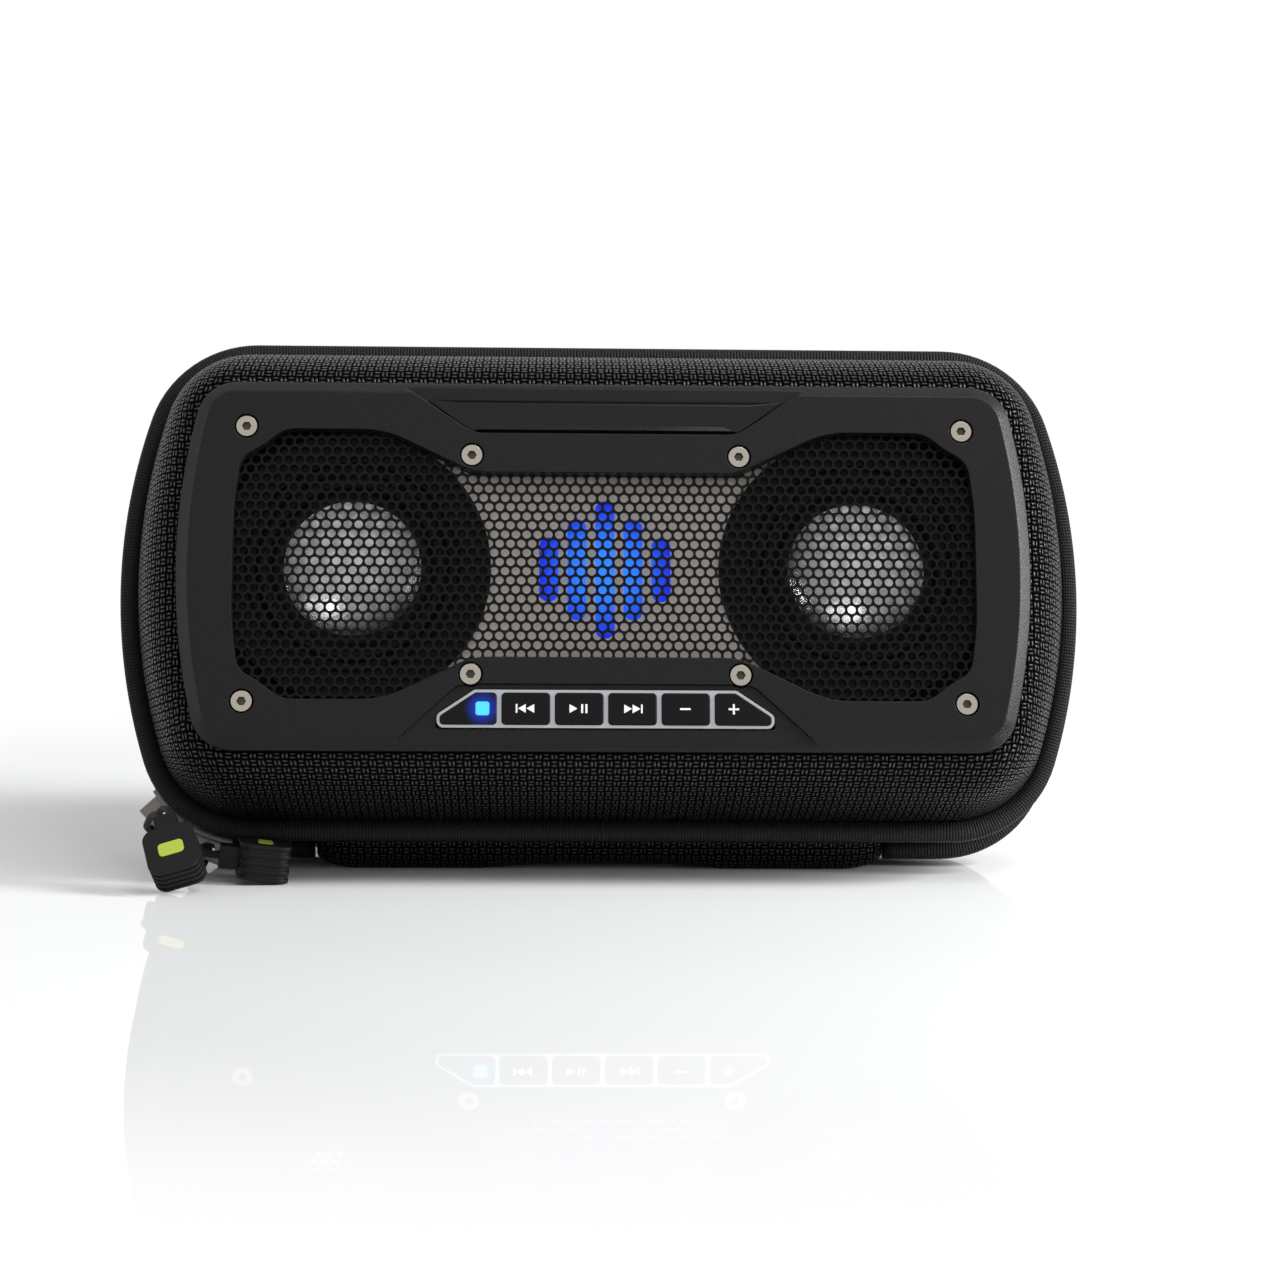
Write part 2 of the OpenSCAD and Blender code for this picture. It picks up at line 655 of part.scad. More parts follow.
module baffle() color("#17181a") stand() difference() {
  union() {
    slab(baffle_back, flange_top) polygon(bezel_line(-0.6));
    slab(baffle_back, plateau_h) polygon(bezel_line(-lip - 0.3));
  }
  slab(recess_h, face_h + past) {
    window(0.5);
    intersection() {
      for (side = [-1, 1]) translate([side * driver_x, 0]) circle(r = trim_r + 0.2);
      square([2 * (window_x + 1.2), 2 * (window_z + 0.5)], center = true);
    }
  }
  for (side = [-1, 1]) {
    rod(side * driver_x, 0, tub_hole, baffle_back - past, face_h);
    for (a = [45 : 90 : 315])
      rod(side * driver_x + driver_screw_r * cos(a), driver_screw_r * sin(a), 0.9, baffle_back - past, face_h);
  }
  slab(baffle_back - past, face_h) square(light_plate + 0.3, center = true);
  slab(key_pocket_floor, face_h + past) translate([-32.3, board_low - 0.2]) square([64.6, board_high - board_low + 0.5]);
  at_screws() rod(0, 0, shank_r + 0.02, baffle_back - past, face_h + past);
  at_box_screws() rod(0, 0, shank_r + 0.02, baffle_back - past, baffle_back + 2);
}

// Depths of a driver's parts behind the face that its flange sits on
basket_back = recess_h - 12.8;
basket_wall = 1.2;
spider_h = recess_h - 8;
magnet_t = 10.55;
coil_back = recess_h - 17;
coil_slot = recess_h - 19.6;
flange_t = 1.1;
lip_t = 0.4;
flange_h = recess_h + seat + flange_t;
driver_screw_r = (tub_r + flange_r) / 2 + 0.4;

module driver_basket(x) color("#2b2c2e") stand() difference() {
  turned(x) polygon([[tub_r + 0.1, flange_h], [flange_r, flange_h], [flange_r, recess_h + seat],
    [tub_r - 0.2, recess_h + seat], [tub_r - 2.6, basket_back], [coil_r + 0.9, basket_back],
    [coil_r + 0.9, basket_back + basket_wall], [tub_r - 3.6, basket_back + basket_wall],
    [tub_r - 1.4, recess_h + 0.4]]);
  for (a = [45 : 90 : 315]) rod(x + driver_screw_r * cos(a), driver_screw_r * sin(a), 1, recess_h - past, flange_h + past);
}

module driver_trim(x) color("#121213") stand() intersection() {
  turned(x) polygon([[tub_r + 0.3, flange_h + 0.5], [tub_r + 0.3, flange_h + 1.3], [tub_r + 0.9, flange_h + 1.6],
    [trim_r, flange_h + 1.6], [trim_r, recess_h + seat], [flange_r + 0.1, recess_h + seat],
    [flange_r + 0.1, flange_h + 0.5]]);
  slab(recess_h, face_h) window(0.3);
}

// Half-roll surround, glued to the cone's rim and held under the trim disc
module surround(x) color("#1c1c1c") stand() turned(x) {
  roll = (tub_r - cone_r) / 2 - 1;
  mid = (tub_r + cone_r) / 2 - 0.1;
  translate([mid, flange_h - 0.5]) intersection() {
    difference() {
      circle(r = roll);
      circle(r = roll - lip_t);
    }
    translate([-roll, 0]) square([2 * roll, roll]);
  }
  translate([mid + roll - lip_t, flange_h + 0.02]) square([tub_r + 1.1 - mid - roll + lip_t, lip_t]);
  translate([mid + roll - lip_t, flange_h - 0.5]) square([lip_t, 0.53]);
  translate([cone_r - 0.8, flange_h - 0.5]) square([mid - roll + lip_t - cone_r + 0.8, lip_t]);
}

cone_rim = flange_h - 0.5 - seat;
bowl_mid = cone_rim + sqrt(pow(cone_bowl_r, 2) - cone_r * cone_r);
module cone(x) color("#d2d4d6") stand() turned(x) intersection() {
  translate([0, bowl_mid]) difference() {
    circle(r = cone_bowl_r + 0.5, $fn = 96);
    circle(r = cone_bowl_r, $fn = 96);
  }
  translate([0, cone_rim - 12]) square([cone_r, 12]);
}

module voice_coil(x) color("#a5622c") stand() turned(x)
  translate([coil_r - 0.4, coil_back])
    square([0.4, bowl_mid - sqrt(pow(cone_bowl_r + 0.5, 2) - pow(coil_r - 0.4, 2)) - seat - coil_back]);

spider_r = tub_r - 3.1;
module spider(x) color("#b08a4a") stand() turned(x) polygon(concat(
  [for (i = [0 : 8]) [mix(coil_r + 0.1, spider_r, i / 8), spider_h + (i % 2) * 0.7]],
  [for (i = [8 : -1 : 0]) [mix(coil_r + 0.1, spider_r, i / 8), spider_h + lip_t + (i % 2) * 0.7]]));

module magnet(x) color("#4a4c50") stand() turned(x) difference() {
  translate([0, basket_back - seat - magnet_t]) square([magnet_r, magnet_t]);
  translate([coil_r - 0.9, coil_slot]) square([1.4, magnet_t]);
}

module driver_screws() color("#8d8f92") stand() for (side = [-1, 1], a = [45 : 90 : 315])
  let (x = side * driver_x + driver_screw_r * cos(a), z = driver_screw_r * sin(a)) {
    rod(x, z, 0.88, baffle_back + 0.2, flange_h + 0.02);
    rod(x, z, 1.2, flange_h + 0.01, flange_h + 0.4);
  }

// Back box

module rounded(w, h, r) offset(r = r) square([w - 2 * r, h - 2 * r], center = true);
module at_box_screws() for (sx = [-1, 1], sz = [-1, 1]) translate([sx * (box_w / 2 - 5.5), 0, sz * (box_h / 2 - 9.5)])
  children();

box_floor = -box_back + box_wall;
box_top = baffle_back - seat;
jack_at = [-14, 24.4];
usb_at = [12, 24.6];
post_x = board_size[0] / 2 - 2.5;
post_z = board_size[1] / 2 - 2.5;
board_h = 12;

module back_box() color("#202123") stand() difference() {
  union() {
    difference() {
      slab(-box_back, box_top) rounded(box_w, box_h, 8);
      slab(box_floor, box_top + past) rounded(box_w - 2 * box_wall, box_h - 2 * box_wall, 6);
    }
    at_box_screws() rod(0, 0, 4, -box_back + 0.5, box_top);
    for (sx = [-1, 1], sz = [-1, 1]) rod(sx * post_x, sz * post_z, 1.8, box_floor - 0.5, board_h - seat);
  }
  at_box_screws() {
    rod(0, 0, shank_r + screw_gap, -box_back - past, box_top + past);
    rod(0, 0, head_r + 3 * screw_gap, -box_back - past, -box_back + head_h + 0.3);
  }
  rod(jack_at[0], jack_at[1], 3.1, -box_back - past, box_floor + past);
  slab(-box_back - past, box_floor + past) translate(usb_at) rounded(9, 4, 1.2);
}

module back_box_screws() color("#8d8f92") stand() at_box_screws() difference() {
  union() {
    rod(0, 0, shank_r, -box_back + head_h + 0.2, baffle_back + 1.8);
    rod(0, 0, head_r, -box_back + 0.25, -box_back + head_h + 0.25);
  }
  translate([0, box_back + 0.5, 0]) rotate([90, 0, 0]) cylinder(h = 1.6, r = 0.9, $fn = 6);
}

module main_board() color("#1e4a33") stand() {
  slab(board_h, board_h + 1.6) square(board_size, center = true);
  slab(board_h + 1.59, board_h + 4) for (x = [-14, 6]) translate([x, -8]) square([12, 12]);
}

module battery() color("#4b5a66") stand() slab(box_floor + seat, box_floor + seat + battery_size[2])
  rounded(battery_size[0], battery_size[1], 2);

module jack_socket() color("#161616") stand() difference() {
  union() {
    rod(jack_at[0], jack_at[1], 3, -box_back, box_floor + 1);
    slab(box_floor + seat, board_h - seat) translate(jack_at) square([8, 6.4], center = true);
  }
  rod(jack_at[0], jack_at[1], jack_r, -box_back - past, jack_depth - box_back);
}

module usb_socket() color("#9b9da0") stand() difference() {
  union() {
    slab(-box_back, box_floor + 1) translate(usb_at) rounded(8.8, 3.8, 1.1);
    slab(box_floor + seat, board_h - seat) translate(usb_at) square([10, 6], center = true);
  }
  slab(-box_back - past, 4) translate(usb_at) rounded(7.4, 2.4, 0.8);
}

front_shell();
front_binding();
zip_front();
zip_tail();
hinge_spine();
rear_shell();
rear_binding();
zip_rear();
slider(slider_a_at);  // slider_a
slider(slider_b_at);  // slider_b
pull_cord_a();
pull_cord_b();
pull_a();
pull_b();
pull_inlay_a();
pull_inlay_b();
bezel();
label_bar();
grille();
bezel_screws();
front_gasket();
key_frame();
key_power();
key_prev();
key_play();
key_next();
key_minus();
key_plus();
power_light();
key_board();
key_switches();
centre_plate();
light_window();
light_board();
baffle();
driver_basket(-driver_x);  // driver_basket_l
driver_basket(driver_x);  // driver_basket_r
driver_trim(-driver_x);  // driver_trim_l
driver_trim(driver_x);  // driver_trim_r
surround(-driver_x);  // surround_l
surround(driver_x);  // surround_r
cone(-driver_x);  // cone_l
cone(driver_x);  // cone_r
voice_coil(-driver_x);  // voice_coil_l
voice_coil(driver_x);  // voice_coil_r
spider(-driver_x);  // spider_l
spider(driver_x);  // spider_r
magnet(-driver_x);  // magnet_l
magnet(driver_x);  // magnet_r
driver_screws();
back_box();
back_box_screws();
main_board();
battery();
jack_socket();
usb_socket();
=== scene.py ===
# Portable speaker in a zip-up moulded case. Lengths in the sections are in millimetres unless a line
# says otherwise. The case frame has x to the right, h forward of the zip and z up, and leans back.
import json
import math
import bpy
from mathutils import Matrix, Vector


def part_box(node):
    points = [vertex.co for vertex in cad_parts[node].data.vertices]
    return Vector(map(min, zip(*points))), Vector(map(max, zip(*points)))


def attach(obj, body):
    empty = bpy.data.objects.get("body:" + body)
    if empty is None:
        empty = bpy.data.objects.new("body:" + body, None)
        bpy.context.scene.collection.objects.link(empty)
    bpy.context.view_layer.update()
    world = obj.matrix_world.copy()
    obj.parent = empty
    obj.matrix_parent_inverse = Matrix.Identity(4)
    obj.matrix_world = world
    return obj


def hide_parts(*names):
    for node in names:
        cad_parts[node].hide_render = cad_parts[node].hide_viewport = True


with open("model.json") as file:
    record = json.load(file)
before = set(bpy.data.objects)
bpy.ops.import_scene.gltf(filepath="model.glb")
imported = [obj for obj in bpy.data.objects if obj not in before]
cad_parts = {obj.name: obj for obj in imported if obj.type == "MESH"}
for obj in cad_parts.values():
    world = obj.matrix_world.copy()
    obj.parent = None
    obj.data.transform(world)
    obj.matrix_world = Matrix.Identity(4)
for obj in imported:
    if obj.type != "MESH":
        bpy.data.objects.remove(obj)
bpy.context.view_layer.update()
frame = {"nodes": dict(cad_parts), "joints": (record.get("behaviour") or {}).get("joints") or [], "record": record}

# Camera: a long lens at table height, a little to the left of the speaker. The keys travel straight
# back into the case, so their axis gives its lean, and the slider's pivot gives its lower left corner.
MM = 0.001
joint = {j["name"]: j for j in frame["joints"]}
back = Vector(joint["key_play_press"]["axis"]).normalized()
right = Vector((1, 0, 0))
up = right.cross(back)
pivot = Vector(joint["left_slider_run"]["pos_m"])
corner_z = 28
middle = Vector((0, pivot.y, pivot.z)) + up * corner_z * MM


def at(x, h, z):
    """A point of the case frame, in the row frame and in metres."""
    return middle + (right * x - back * h + up * z) * MM


def in_case(point):
    """A point of the row frame as its x, h and z in the case frame."""
    spot = point - middle
    return spot.dot(right) / MM, -spot.dot(back) / MM, spot.dot(up) / MM


distance = 0.66
elevation = math.radians(5.9)
azimuth = math.radians(2.46)
roll = math.radians(0.56)
aim_right, aim_down = 6.8, 7.3

look = Vector((0, math.cos(elevation), -math.sin(elevation)))
over = Vector((0, math.sin(elevation), math.cos(elevation)))
eye = middle - look * distance + (right * aim_right - over * aim_down) * MM
axes = Matrix((right, over, -look)).transposed().to_4x4()
orbit = Matrix.Translation(middle) @ Matrix.Rotation(-azimuth, 4, "Z") @ Matrix.Translation(-middle)
camera = bpy.data.objects.new("camera", bpy.data.cameras.new("camera"))
camera.data.lens = 93.5
camera.data.sensor_width = 36
camera.matrix_world = orbit @ Matrix.Translation(eye) @ axes @ Matrix.Rotation(roll, 4, "Z")
bpy.context.scene.collection.objects.link(camera)
bpy.context.scene.camera = camera
bpy.context.scene.view_settings.view_transform = "Standard"

# Table and light: a white gloss table that mirrors the speaker faintly and turns into the pale studio
# further out. A soft box hangs over the speaker, one behind it and one at each side.


def linear(colour):
    """An sRGB hex colour as linear values with alpha."""
    parts = [int(colour[i:i + 2], 16) / 255 for i in (1, 3, 5)]
    return tuple(c / 12.92 if c < 0.04045 else ((c + 0.055) / 1.055) ** 2.4 for c in parts) + (1,)


def add(material, kind, settings=None, inputs=None):
    """Adds a node. Its inputs are values, sockets, or nodes that stand for their first output."""
    made = material.node_tree.nodes.new("ShaderNode" + kind)
    for name, value in (settings or {}).items():
        setattr(made, name, value)
    for name, value in (inputs or {}).items():
        if isinstance(value, (bpy.types.Node, bpy.types.NodeSocket)):
            link(material, value, made.inputs[name])
        else:
            made.inputs[name].default_value = value
    return made


def new_material(name, colour, roughness, inputs=None):
    """A material whose shader holds the given plain values."""
    material = bpy.data.materials.new(name)
    material.use_nodes = True
    shader = material.node_tree.nodes["Principled BSDF"]
    shader.inputs["Base Color"].default_value = linear(colour)
    shader.inputs["Roughness"].default_value = roughness
    for socket, value in (inputs or {}).items():
        shader.inputs[socket].default_value = value
    return material


def link(material, source, socket):
    """Links a socket, or a node's first output, to a socket or to the shader's input of that name."""
    if isinstance(socket, str):
        socket = material.node_tree.nodes["Principled BSDF"].inputs[socket]
    material.node_tree.links.new(source.outputs[0] if isinstance(source, bpy.types.Node) else source, socket)


def seen(material):
    """1 where the camera, a mirror or glass looks straight at the thing, and 0 for other light."""
    ray = add(material, "LightPath")
    shiny = add(material, "Math", {"operation": "MAXIMUM"},
                {0: ray.outputs["Is Glossy Ray"], 1: ray.outputs["Is Transmission Ray"]})
    return add(material, "Math", {"operation": "MAXIMUM"}, {0: ray.outputs["Is Camera Ray"], 1: shiny})


world = bpy.data.worlds.new("studio")
world.use_nodes = True
bpy.context.scene.world = world
sky = world.node_tree.nodes["Background"]
sky.inputs["Color"].default_value = (1, 1, 1, 1)
room_light = 0.31
level = add(world, "MapRange", None, {"Value": seen(world), "To Min": room_light, "To Max": 1.0})
link(world, level, sky.inputs["Strength"])

bpy.ops.object.select_all(action="DESELECT")
bpy.ops.mesh.primitive_plane_add(size=6)
table = bpy.context.object
table.name = "table"
gloss_white = new_material("gloss_white_acrylic", "#ffffff", 0.5)
place = add(gloss_white, "TexCoord").outputs["Object"]
far = add(gloss_white, "VectorMath", {"operation": "LENGTH"}, {0: place})
fade_from, fade_to, mirror_share = 0.16, 0.27, 0.22
fade = add(gloss_white, "MapRange", {"interpolation_type": "SMOOTHSTEP"},
           {"Value": far.outputs["Value"], "From Min": fade_from, "From Max": fade_to})
matt = add(gloss_white, "BsdfDiffuse", None, {"Color": linear("#f4f5f6")})
glow = add(gloss_white, "Emission", None, {"Strength": 1.0})
mirror = add(gloss_white, "BsdfGlossy", None, {"Color": (1, 1, 1, 1), "Roughness": 0.015})
shine = add(gloss_white, "MixShader", None, {0: mirror_share, 1: matt, 2: mirror})
body = add(gloss_white, "MixShader", None, {0: fade, 1: shine, 2: glow})
link(gloss_white, body, gloss_white.node_tree.nodes["Material Output"].inputs["Surface"])
table.data.materials.append(gloss_white)

for name, spot, size, watts in (("box_over", (0.2, -0.3, 0.7), (0.35, 0.25), 1.5),
                                ("box_behind", (0.0, 0.55, 0.55), (0.9, 0.3), 0.8),
                                ("box_left", (-0.7, -0.25, 0.3), (0.12, 0.5), 0.8),
                                ("box_right", (0.63, -0.15, 0.32), (0.13, 0.46), 8.0)):
    lamp = bpy.data.objects.new(name, bpy.data.lights.new(name, "AREA"))
    lamp.data.shape = "RECTANGLE"
    lamp.data.size, lamp.data.size_y = size
    lamp.data.energy = watts
    lamp.location = spot
    lamp.rotation_euler = (middle - Vector(spot)).to_track_quat("-Z", "Y").to_euler()
    bpy.context.scene.collection.objects.link(lamp)

# Front shell: foam board moulded hot with a cover of ballistic nylon and a thin knitted lining. The
# nylon is a 2 by 2 basket weave of fat, slightly shiny threads, drawn over the mould as one flat cloth.
case_w, case_h = 190, 100
side_r, corner_r = 115, 22
band_w, wall = 4, 2.5
front_depth, face_margin = 28, 1.5
bezel_w, bezel_h, bezel_side_r, bezel_corner_r = 164, 72, 130, 8
lip = 2.8
seam_gap = 0.15


def outline(w, h, side, corner, steps=14):
    """Stations round the outline, anticlockwise from the bottom's middle: each is a point and its normal."""
    cz = h / 2 - corner
    sx = w / 2 - side
    cx = sx + math.sqrt((side - corner) ** 2 - cz * cz)
    turn = math.atan2(cz, cx - sx)
    half = [(cx * i / steps, -h / 2, -math.pi / 2) for i in range(steps)]
    for i in range(steps):
        a = -math.pi / 2 + (math.pi / 2 - turn) * i / steps
        half.append((cx + corner * math.cos(a), -cz + corner * math.sin(a), a))
    for i in range(steps):
        a = -turn + turn * i / steps
        half.append((sx + side * math.cos(a), side * math.sin(a), a))
    lower = [(x, z, math.cos(a), math.sin(a)) for x, z, a in half]
    end = (w / 2, 0, 1, 0)
    rising = lower + [end] + [(x, -z, nx, -nz) for x, z, nx, nz in reversed(lower[1:])]
    top = (0, h / 2, 0, 1)
    return rising + [top] + [(-x, z, -nx, nz) for x, z, nx, nz in reversed(rising[1:])]


seam = outline(case_w, case_h, side_r, corner_r)
frame_edge = outline(bezel_w, bezel_h, bezel_side_r, bezel_corner_r)


def grown(station, grow):
    """A station's point, moved out along its normal."""
    return Vector((station[0] + station[2] * grow, station[1] + station[3] * grow))


def take_up(piece):
    """Makes a piece the active one and the only one selected."""
    bpy.ops.object.select_all(action="DESELECT")
    bpy.context.view_layer.objects.active = piece
    piece.select_set(True)


def edit(piece):
    """Opens a piece in edit mode with all of it selected."""
    take_up(piece)
    bpy.ops.object.mode_set(mode="EDIT")
    bpy.ops.mesh.select_all(action="SELECT")


def leave_edit(outwards=True):
    """Turns all faces outwards, where that is asked for, and leaves edit mode."""
    if outwards:
        bpy.ops.mesh.select_all(action="SELECT")
        bpy.ops.mesh.normals_make_consistent(inside=False)
    bpy.ops.object.mode_set(mode="OBJECT")


def closed(piece, outwards=True):
    """Merges seams and poles, and turns the faces outwards."""
    edit(piece)
    bpy.ops.mesh.remove_doubles(threshold=0.000005)
    leave_edit(outwards)


def formed(name, columns, rows, shape, flat, materials, inner_from=None):
    """A grid of cloth formed over a shape: shape(i, j) places each crossing, and flat(i, j) gives its
    place in the flat cloth in millimetres. Rows from inner_from on take the second material."""
    bpy.ops.object.select_all(action="DESELECT")
    bpy.ops.mesh.primitive_grid_add(x_subdivisions=columns, y_subdivisions=rows, size=2)
    piece = bpy.context.object
    piece.name = name
    crossings = [(round((v.co.x + 1) / 2 * columns), round((v.co.y + 1) / 2 * rows)) for v in piece.data.vertices]
    cloth = piece.data.uv_layers.active
    for loop in piece.data.loops:
        cloth.uv[loop.index].vector = flat(*crossings[loop.vertex_index])
    for vertex, crossing in zip(piece.data.vertices, crossings):
        vertex.co = shape(*crossing)
    for material in materials:
        piece.data.materials.append(material)
    if inner_from is not None:
        for face in piece.data.polygons:
            face.material_index = int(min(crossings[v][1] for v in face.vertices) >= inner_from)
    closed(piece)
    for face in piece.data.polygons:
        face.use_smooth = True
    return piece


# Length of a block of the basket weave, and the pitch of the lining's knit
weave_block = 1.5
knit_pitch = 0.7


def rippled(material, place, pitch, axis, sharp=1.0):
    """Height of threads side by side along one axis of the cloth, from 0 to 1."""
    part = add(material, "SeparateXYZ", None, {0: place}).outputs[axis]
    turn = add(material, "Math", {"operation": "MULTIPLY"}, {0: part, 1: math.pi / pitch})
    wave = add(material, "Math", {"operation": "SINE"}, {0: turn})
    tall = add(material, "Math", {"operation": "ABSOLUTE"}, {0: wave})
    return add(material, "Math", {"operation": "POWER"}, {0: tall, 1: sharp})


def basket_weave(name, colour, deep, block):
    """Two threads over two, each block crowned where it passes over its neighbours. The valleys between the crowns are
    painted darker as shade, and their shine is taken out as painted shade.
    """
    material = new_material(name, colour, 0.3)
    place = add(material, "TexCoord").outputs["UV"]
    over_warp = add(material, "Math", {"operation": "MULTIPLY"},
                    {0: rippled(material, place, block / 2, "Y"), 1: rippled(material, place, block, "X", 0.6)})
    over_weft = add(material, "Math", {"operation": "MULTIPLY"},
                    {0: rippled(material, place, block / 2, "X"), 1: rippled(material, place, block, "Y", 0.6)})
    blocks = add(material, "Mapping", None, {"Vector": place, "Scale": (1 / block, 1 / block, 1)})
    check = add(material, "TexChecker", None, {"Vector": blocks, "Scale": 1.0})
    height = add(material, "Mix", None, {0: check.outputs["Fac"], 2: over_warp, 3: over_weft})
    worn = add(material, "TexNoise", None, {"Vector": place, "Scale": 0.08, "Detail": 3.0})
    crown = add(material, "Math", {"operation": "POWER"}, {0: height, 1: 3.5})
    # Painted shade: the colour runs from the thread's own colour on the crowns down to near black in the valleys
    valley_shaded_tint = add(material, "MixRGB", None, {0: crown, 1: linear(deep), 2: linear(colour)})
    wear = add(material, "MapRange", None, {"Value": worn.outputs["Fac"], "To Min": 0.7, "To Max": 1.3})
    link(material, add(material, "HueSaturation", None, {"Value": wear, "Color": valley_shaded_tint}), "Base Color")
    # Painted shade: the shine is kept on the crowns and taken out of the valleys
    valley_shaded_shine = add(material, "Math", {"operation": "MULTIPLY"}, {0: crown, 1: 0.5})
    link(material, valley_shaded_shine, "Specular IOR Level")
    bump = add(material, "Bump", None, {"Height": height, "Distance": 0.35 * MM, "Strength": 0.9})
    link(material, bump, "Normal")
    return material


nylon = basket_weave("ballistic_nylon_woven", "#242426", "#040405", weave_block)

lining = new_material("tricot_lining_knitted", "#17171a", 0.85, {"Specular IOR Level": 0.15, "Sheen Weight": 0.08})
lining_place = add(lining, "TexCoord").outputs["UV"]
knit = add(lining, "Math", {"operation": "MULTIPLY"}, {0: rippled(lining, lining_place, knit_pitch, "X"),
                                                       1: rippled(lining, lining_place, knit_pitch, "Y")})
link(lining, add(lining, "Bump", None, {"Height": knit, "Distance": 0.1 * MM}), "Normal")

# The section goes from the zip up the side, over the rounded edge, in under the bezel and back down inside
shell_turn, shell_rise = math.radians(78), 8
outer_rows, inner_rows = 18, 8


def side_section(top, grow_low, grow_high, rows):
    """How far over to the bezel's outline, the grow and the height, from the zip to the face."""
    section = []
    for i in range(rows + 1):
        t = (1 - math.cos(shell_turn * i / rows)) / (1 - math.cos(shell_turn))
        high = shell_rise + (top - shell_rise) * math.sin(shell_turn * i / rows) / math.sin(shell_turn)
        section.append((t, grow_low + (grow_high - grow_low) * t, high))
    return section


outer_side = [(0, -band_w, seam_gap), (0, -band_w, 3)] + side_section(front_depth, -band_w, face_margin, outer_rows)
outer_side.insert(-1, (0.985, face_margin - 0.1, front_depth - 0.16))
inner_side = side_section(front_depth - wall, -band_w - wall, face_margin - wall, inner_rows)
face_in = [(1, 0.6, front_depth), (1, -lip + 0.3, front_depth), (1, -lip, front_depth - 0.3),
           (1, -lip, front_depth - wall)]
front_section = outer_side + face_in + inner_side[::-1] + [(0, -band_w - wall, seam_gap), outer_side[0]]
front_inner = len(outer_side) + len(face_in) - 2


def section_point(low_line, high_line, i, row):
    """A point of the section at one station, between the outline at the zip and the one at the face."""
    t, grow, high = row
    low, top = grown(low_line[i % len(low_line)], grow), grown(high_line[i % len(high_line)], grow)
    flat = low * (1 - t) + top * t
    return Vector((flat.x, high, flat.y))


def lengths(points):
    """How far along a line each of its points lies."""
    reach = [0.0]
    for a, b in zip(points, points[1:]):
        reach.append(reach[-1] + (b - a).length)
    return reach


def unfolded(low_line, high_line, section, start):
    """Spreads the moulded cloth flat again: each row moves out from the edge by the cloth's own length."""
    flat = []
    for i in range(len(low_line) + 1):
        reach = lengths([section_point(low_line, high_line, i, row) for row in section])
        foot = high_line[i % len(high_line)]
        flat.append([(foot[0] + foot[2] * (reach[start] - r), foot[1] + foot[3] * (reach[start] - r)) for r in reach])
    return lambda i, j: flat[i][j]


front_shell = formed("front_shell_cloth", len(seam), len(front_section) - 1,
                     lambda i, j: at(*section_point(seam, frame_edge, i, front_section[j])),
                     unfolded(seam, frame_edge, front_section, len(outer_side) - 1), [nylon, lining], front_inner)
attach(front_shell, "front_case")
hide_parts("front_shell")

# Rear shell: the cover, moulded from the same board and cloth as the front, with a broad flat back and
# a rounded edge round it. It is sewn to the zip and to the hinge spine.
rear_h, rear_depth = 103.6, 26
rear_edge = outline(case_w, rear_h, side_r, corner_r)
rear_band = 3.6
round_back, round_h, inner_round_h, round_steps = 8, 9, 8.5, 8
outer_back = [(0, -band_w, -seam_gap), (0, -band_w, -3.4), (1, -band_w, -3.9), (1, -band_w, -7.7),
              (1, -rear_band, -8.7), (1, -rear_band, -13), (1, -rear_band, round_h - rear_depth)]
for i in range(1, round_steps + 1):
    a = math.pi / 2 * i / round_steps
    outer_back.append((1, -rear_band - round_back * (1 - math.cos(a)) * 0.7,
                       round_h - rear_depth - round_h * math.sin(a) * 0.985))
back_level = 0.14 - rear_depth
panel = [(1, -12, back_level), (1, -15, -rear_depth), (1, -18, -rear_depth)]
inner_back = [(1, -18, wall - rear_depth), (1, -12, wall - rear_depth)]
for i in reversed(range(round_steps)):
    a = math.pi / 2 * i / round_steps
    inner_back.append((1, -rear_band - wall - round_back * (1 - math.cos(a)) * 0.5,
                       inner_round_h - rear_depth - (inner_round_h - wall) * math.sin(a)))
inner_back += [(1, -rear_band - wall, -8.7), (1, -band_w - wall, -3.9), (0, -band_w - wall, -seam_gap)]
shrink = [0.8, 0.6, 0.4, 0.2, 0.0]

# Outer side, the back panel drawn in to its middle, then the inner face out to the side again
rear_section = [(row, 1.0) for row in outer_back + panel] + [(panel[-1], s) for s in shrink]
rear_section += [(inner_back[0], s) for s in reversed(shrink)] + [(row, 1.0) for row in inner_back + outer_back[:1]]
rear_inner = len(outer_back) + len(panel) + len(shrink) - 1


def rear_point(i, j):
    row, shrunk = rear_section[j]
    p = section_point(seam, rear_edge, i, row)
    return Vector((p.x * shrunk, p.y, p.z * shrunk))


def rear_cloth(i, j):
    """The back panel lies flat, and the side is spread out round it."""
    first = len(outer_back)
    if first - 1 <= j:
        p = rear_point(i, j)
        return p.x, p.z
    points = [rear_point(i, k) for k in range(j, first)]
    reach = sum((b - a).length for a, b in zip(points, points[1:]))
    foot = rear_edge[i % len(rear_edge)]
    edge = rear_point(i, first - 1)
    return edge.x + foot[2] * reach, edge.z + foot[3] * reach


rear_shell = formed("rear_shell_cloth", len(seam), len(rear_section) - 1, lambda i, j: at(*rear_point(i, j)),
                    rear_cloth, [nylon, lining], rear_inner)
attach(rear_shell, "rear_cover")
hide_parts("rear_shell")

# Bindings: ribbed woven tape folded over the edge of each shell and the zip tape, and sewn down. The
# fold is full in the middle and pinched where it is sewn.
band_depth, tape_w, tape_t, fold_rows = 3.8, 3.2, 1.7, 12
tooth_h, tooth_w = 1.2, 1.2
rib_pitch = 0.62

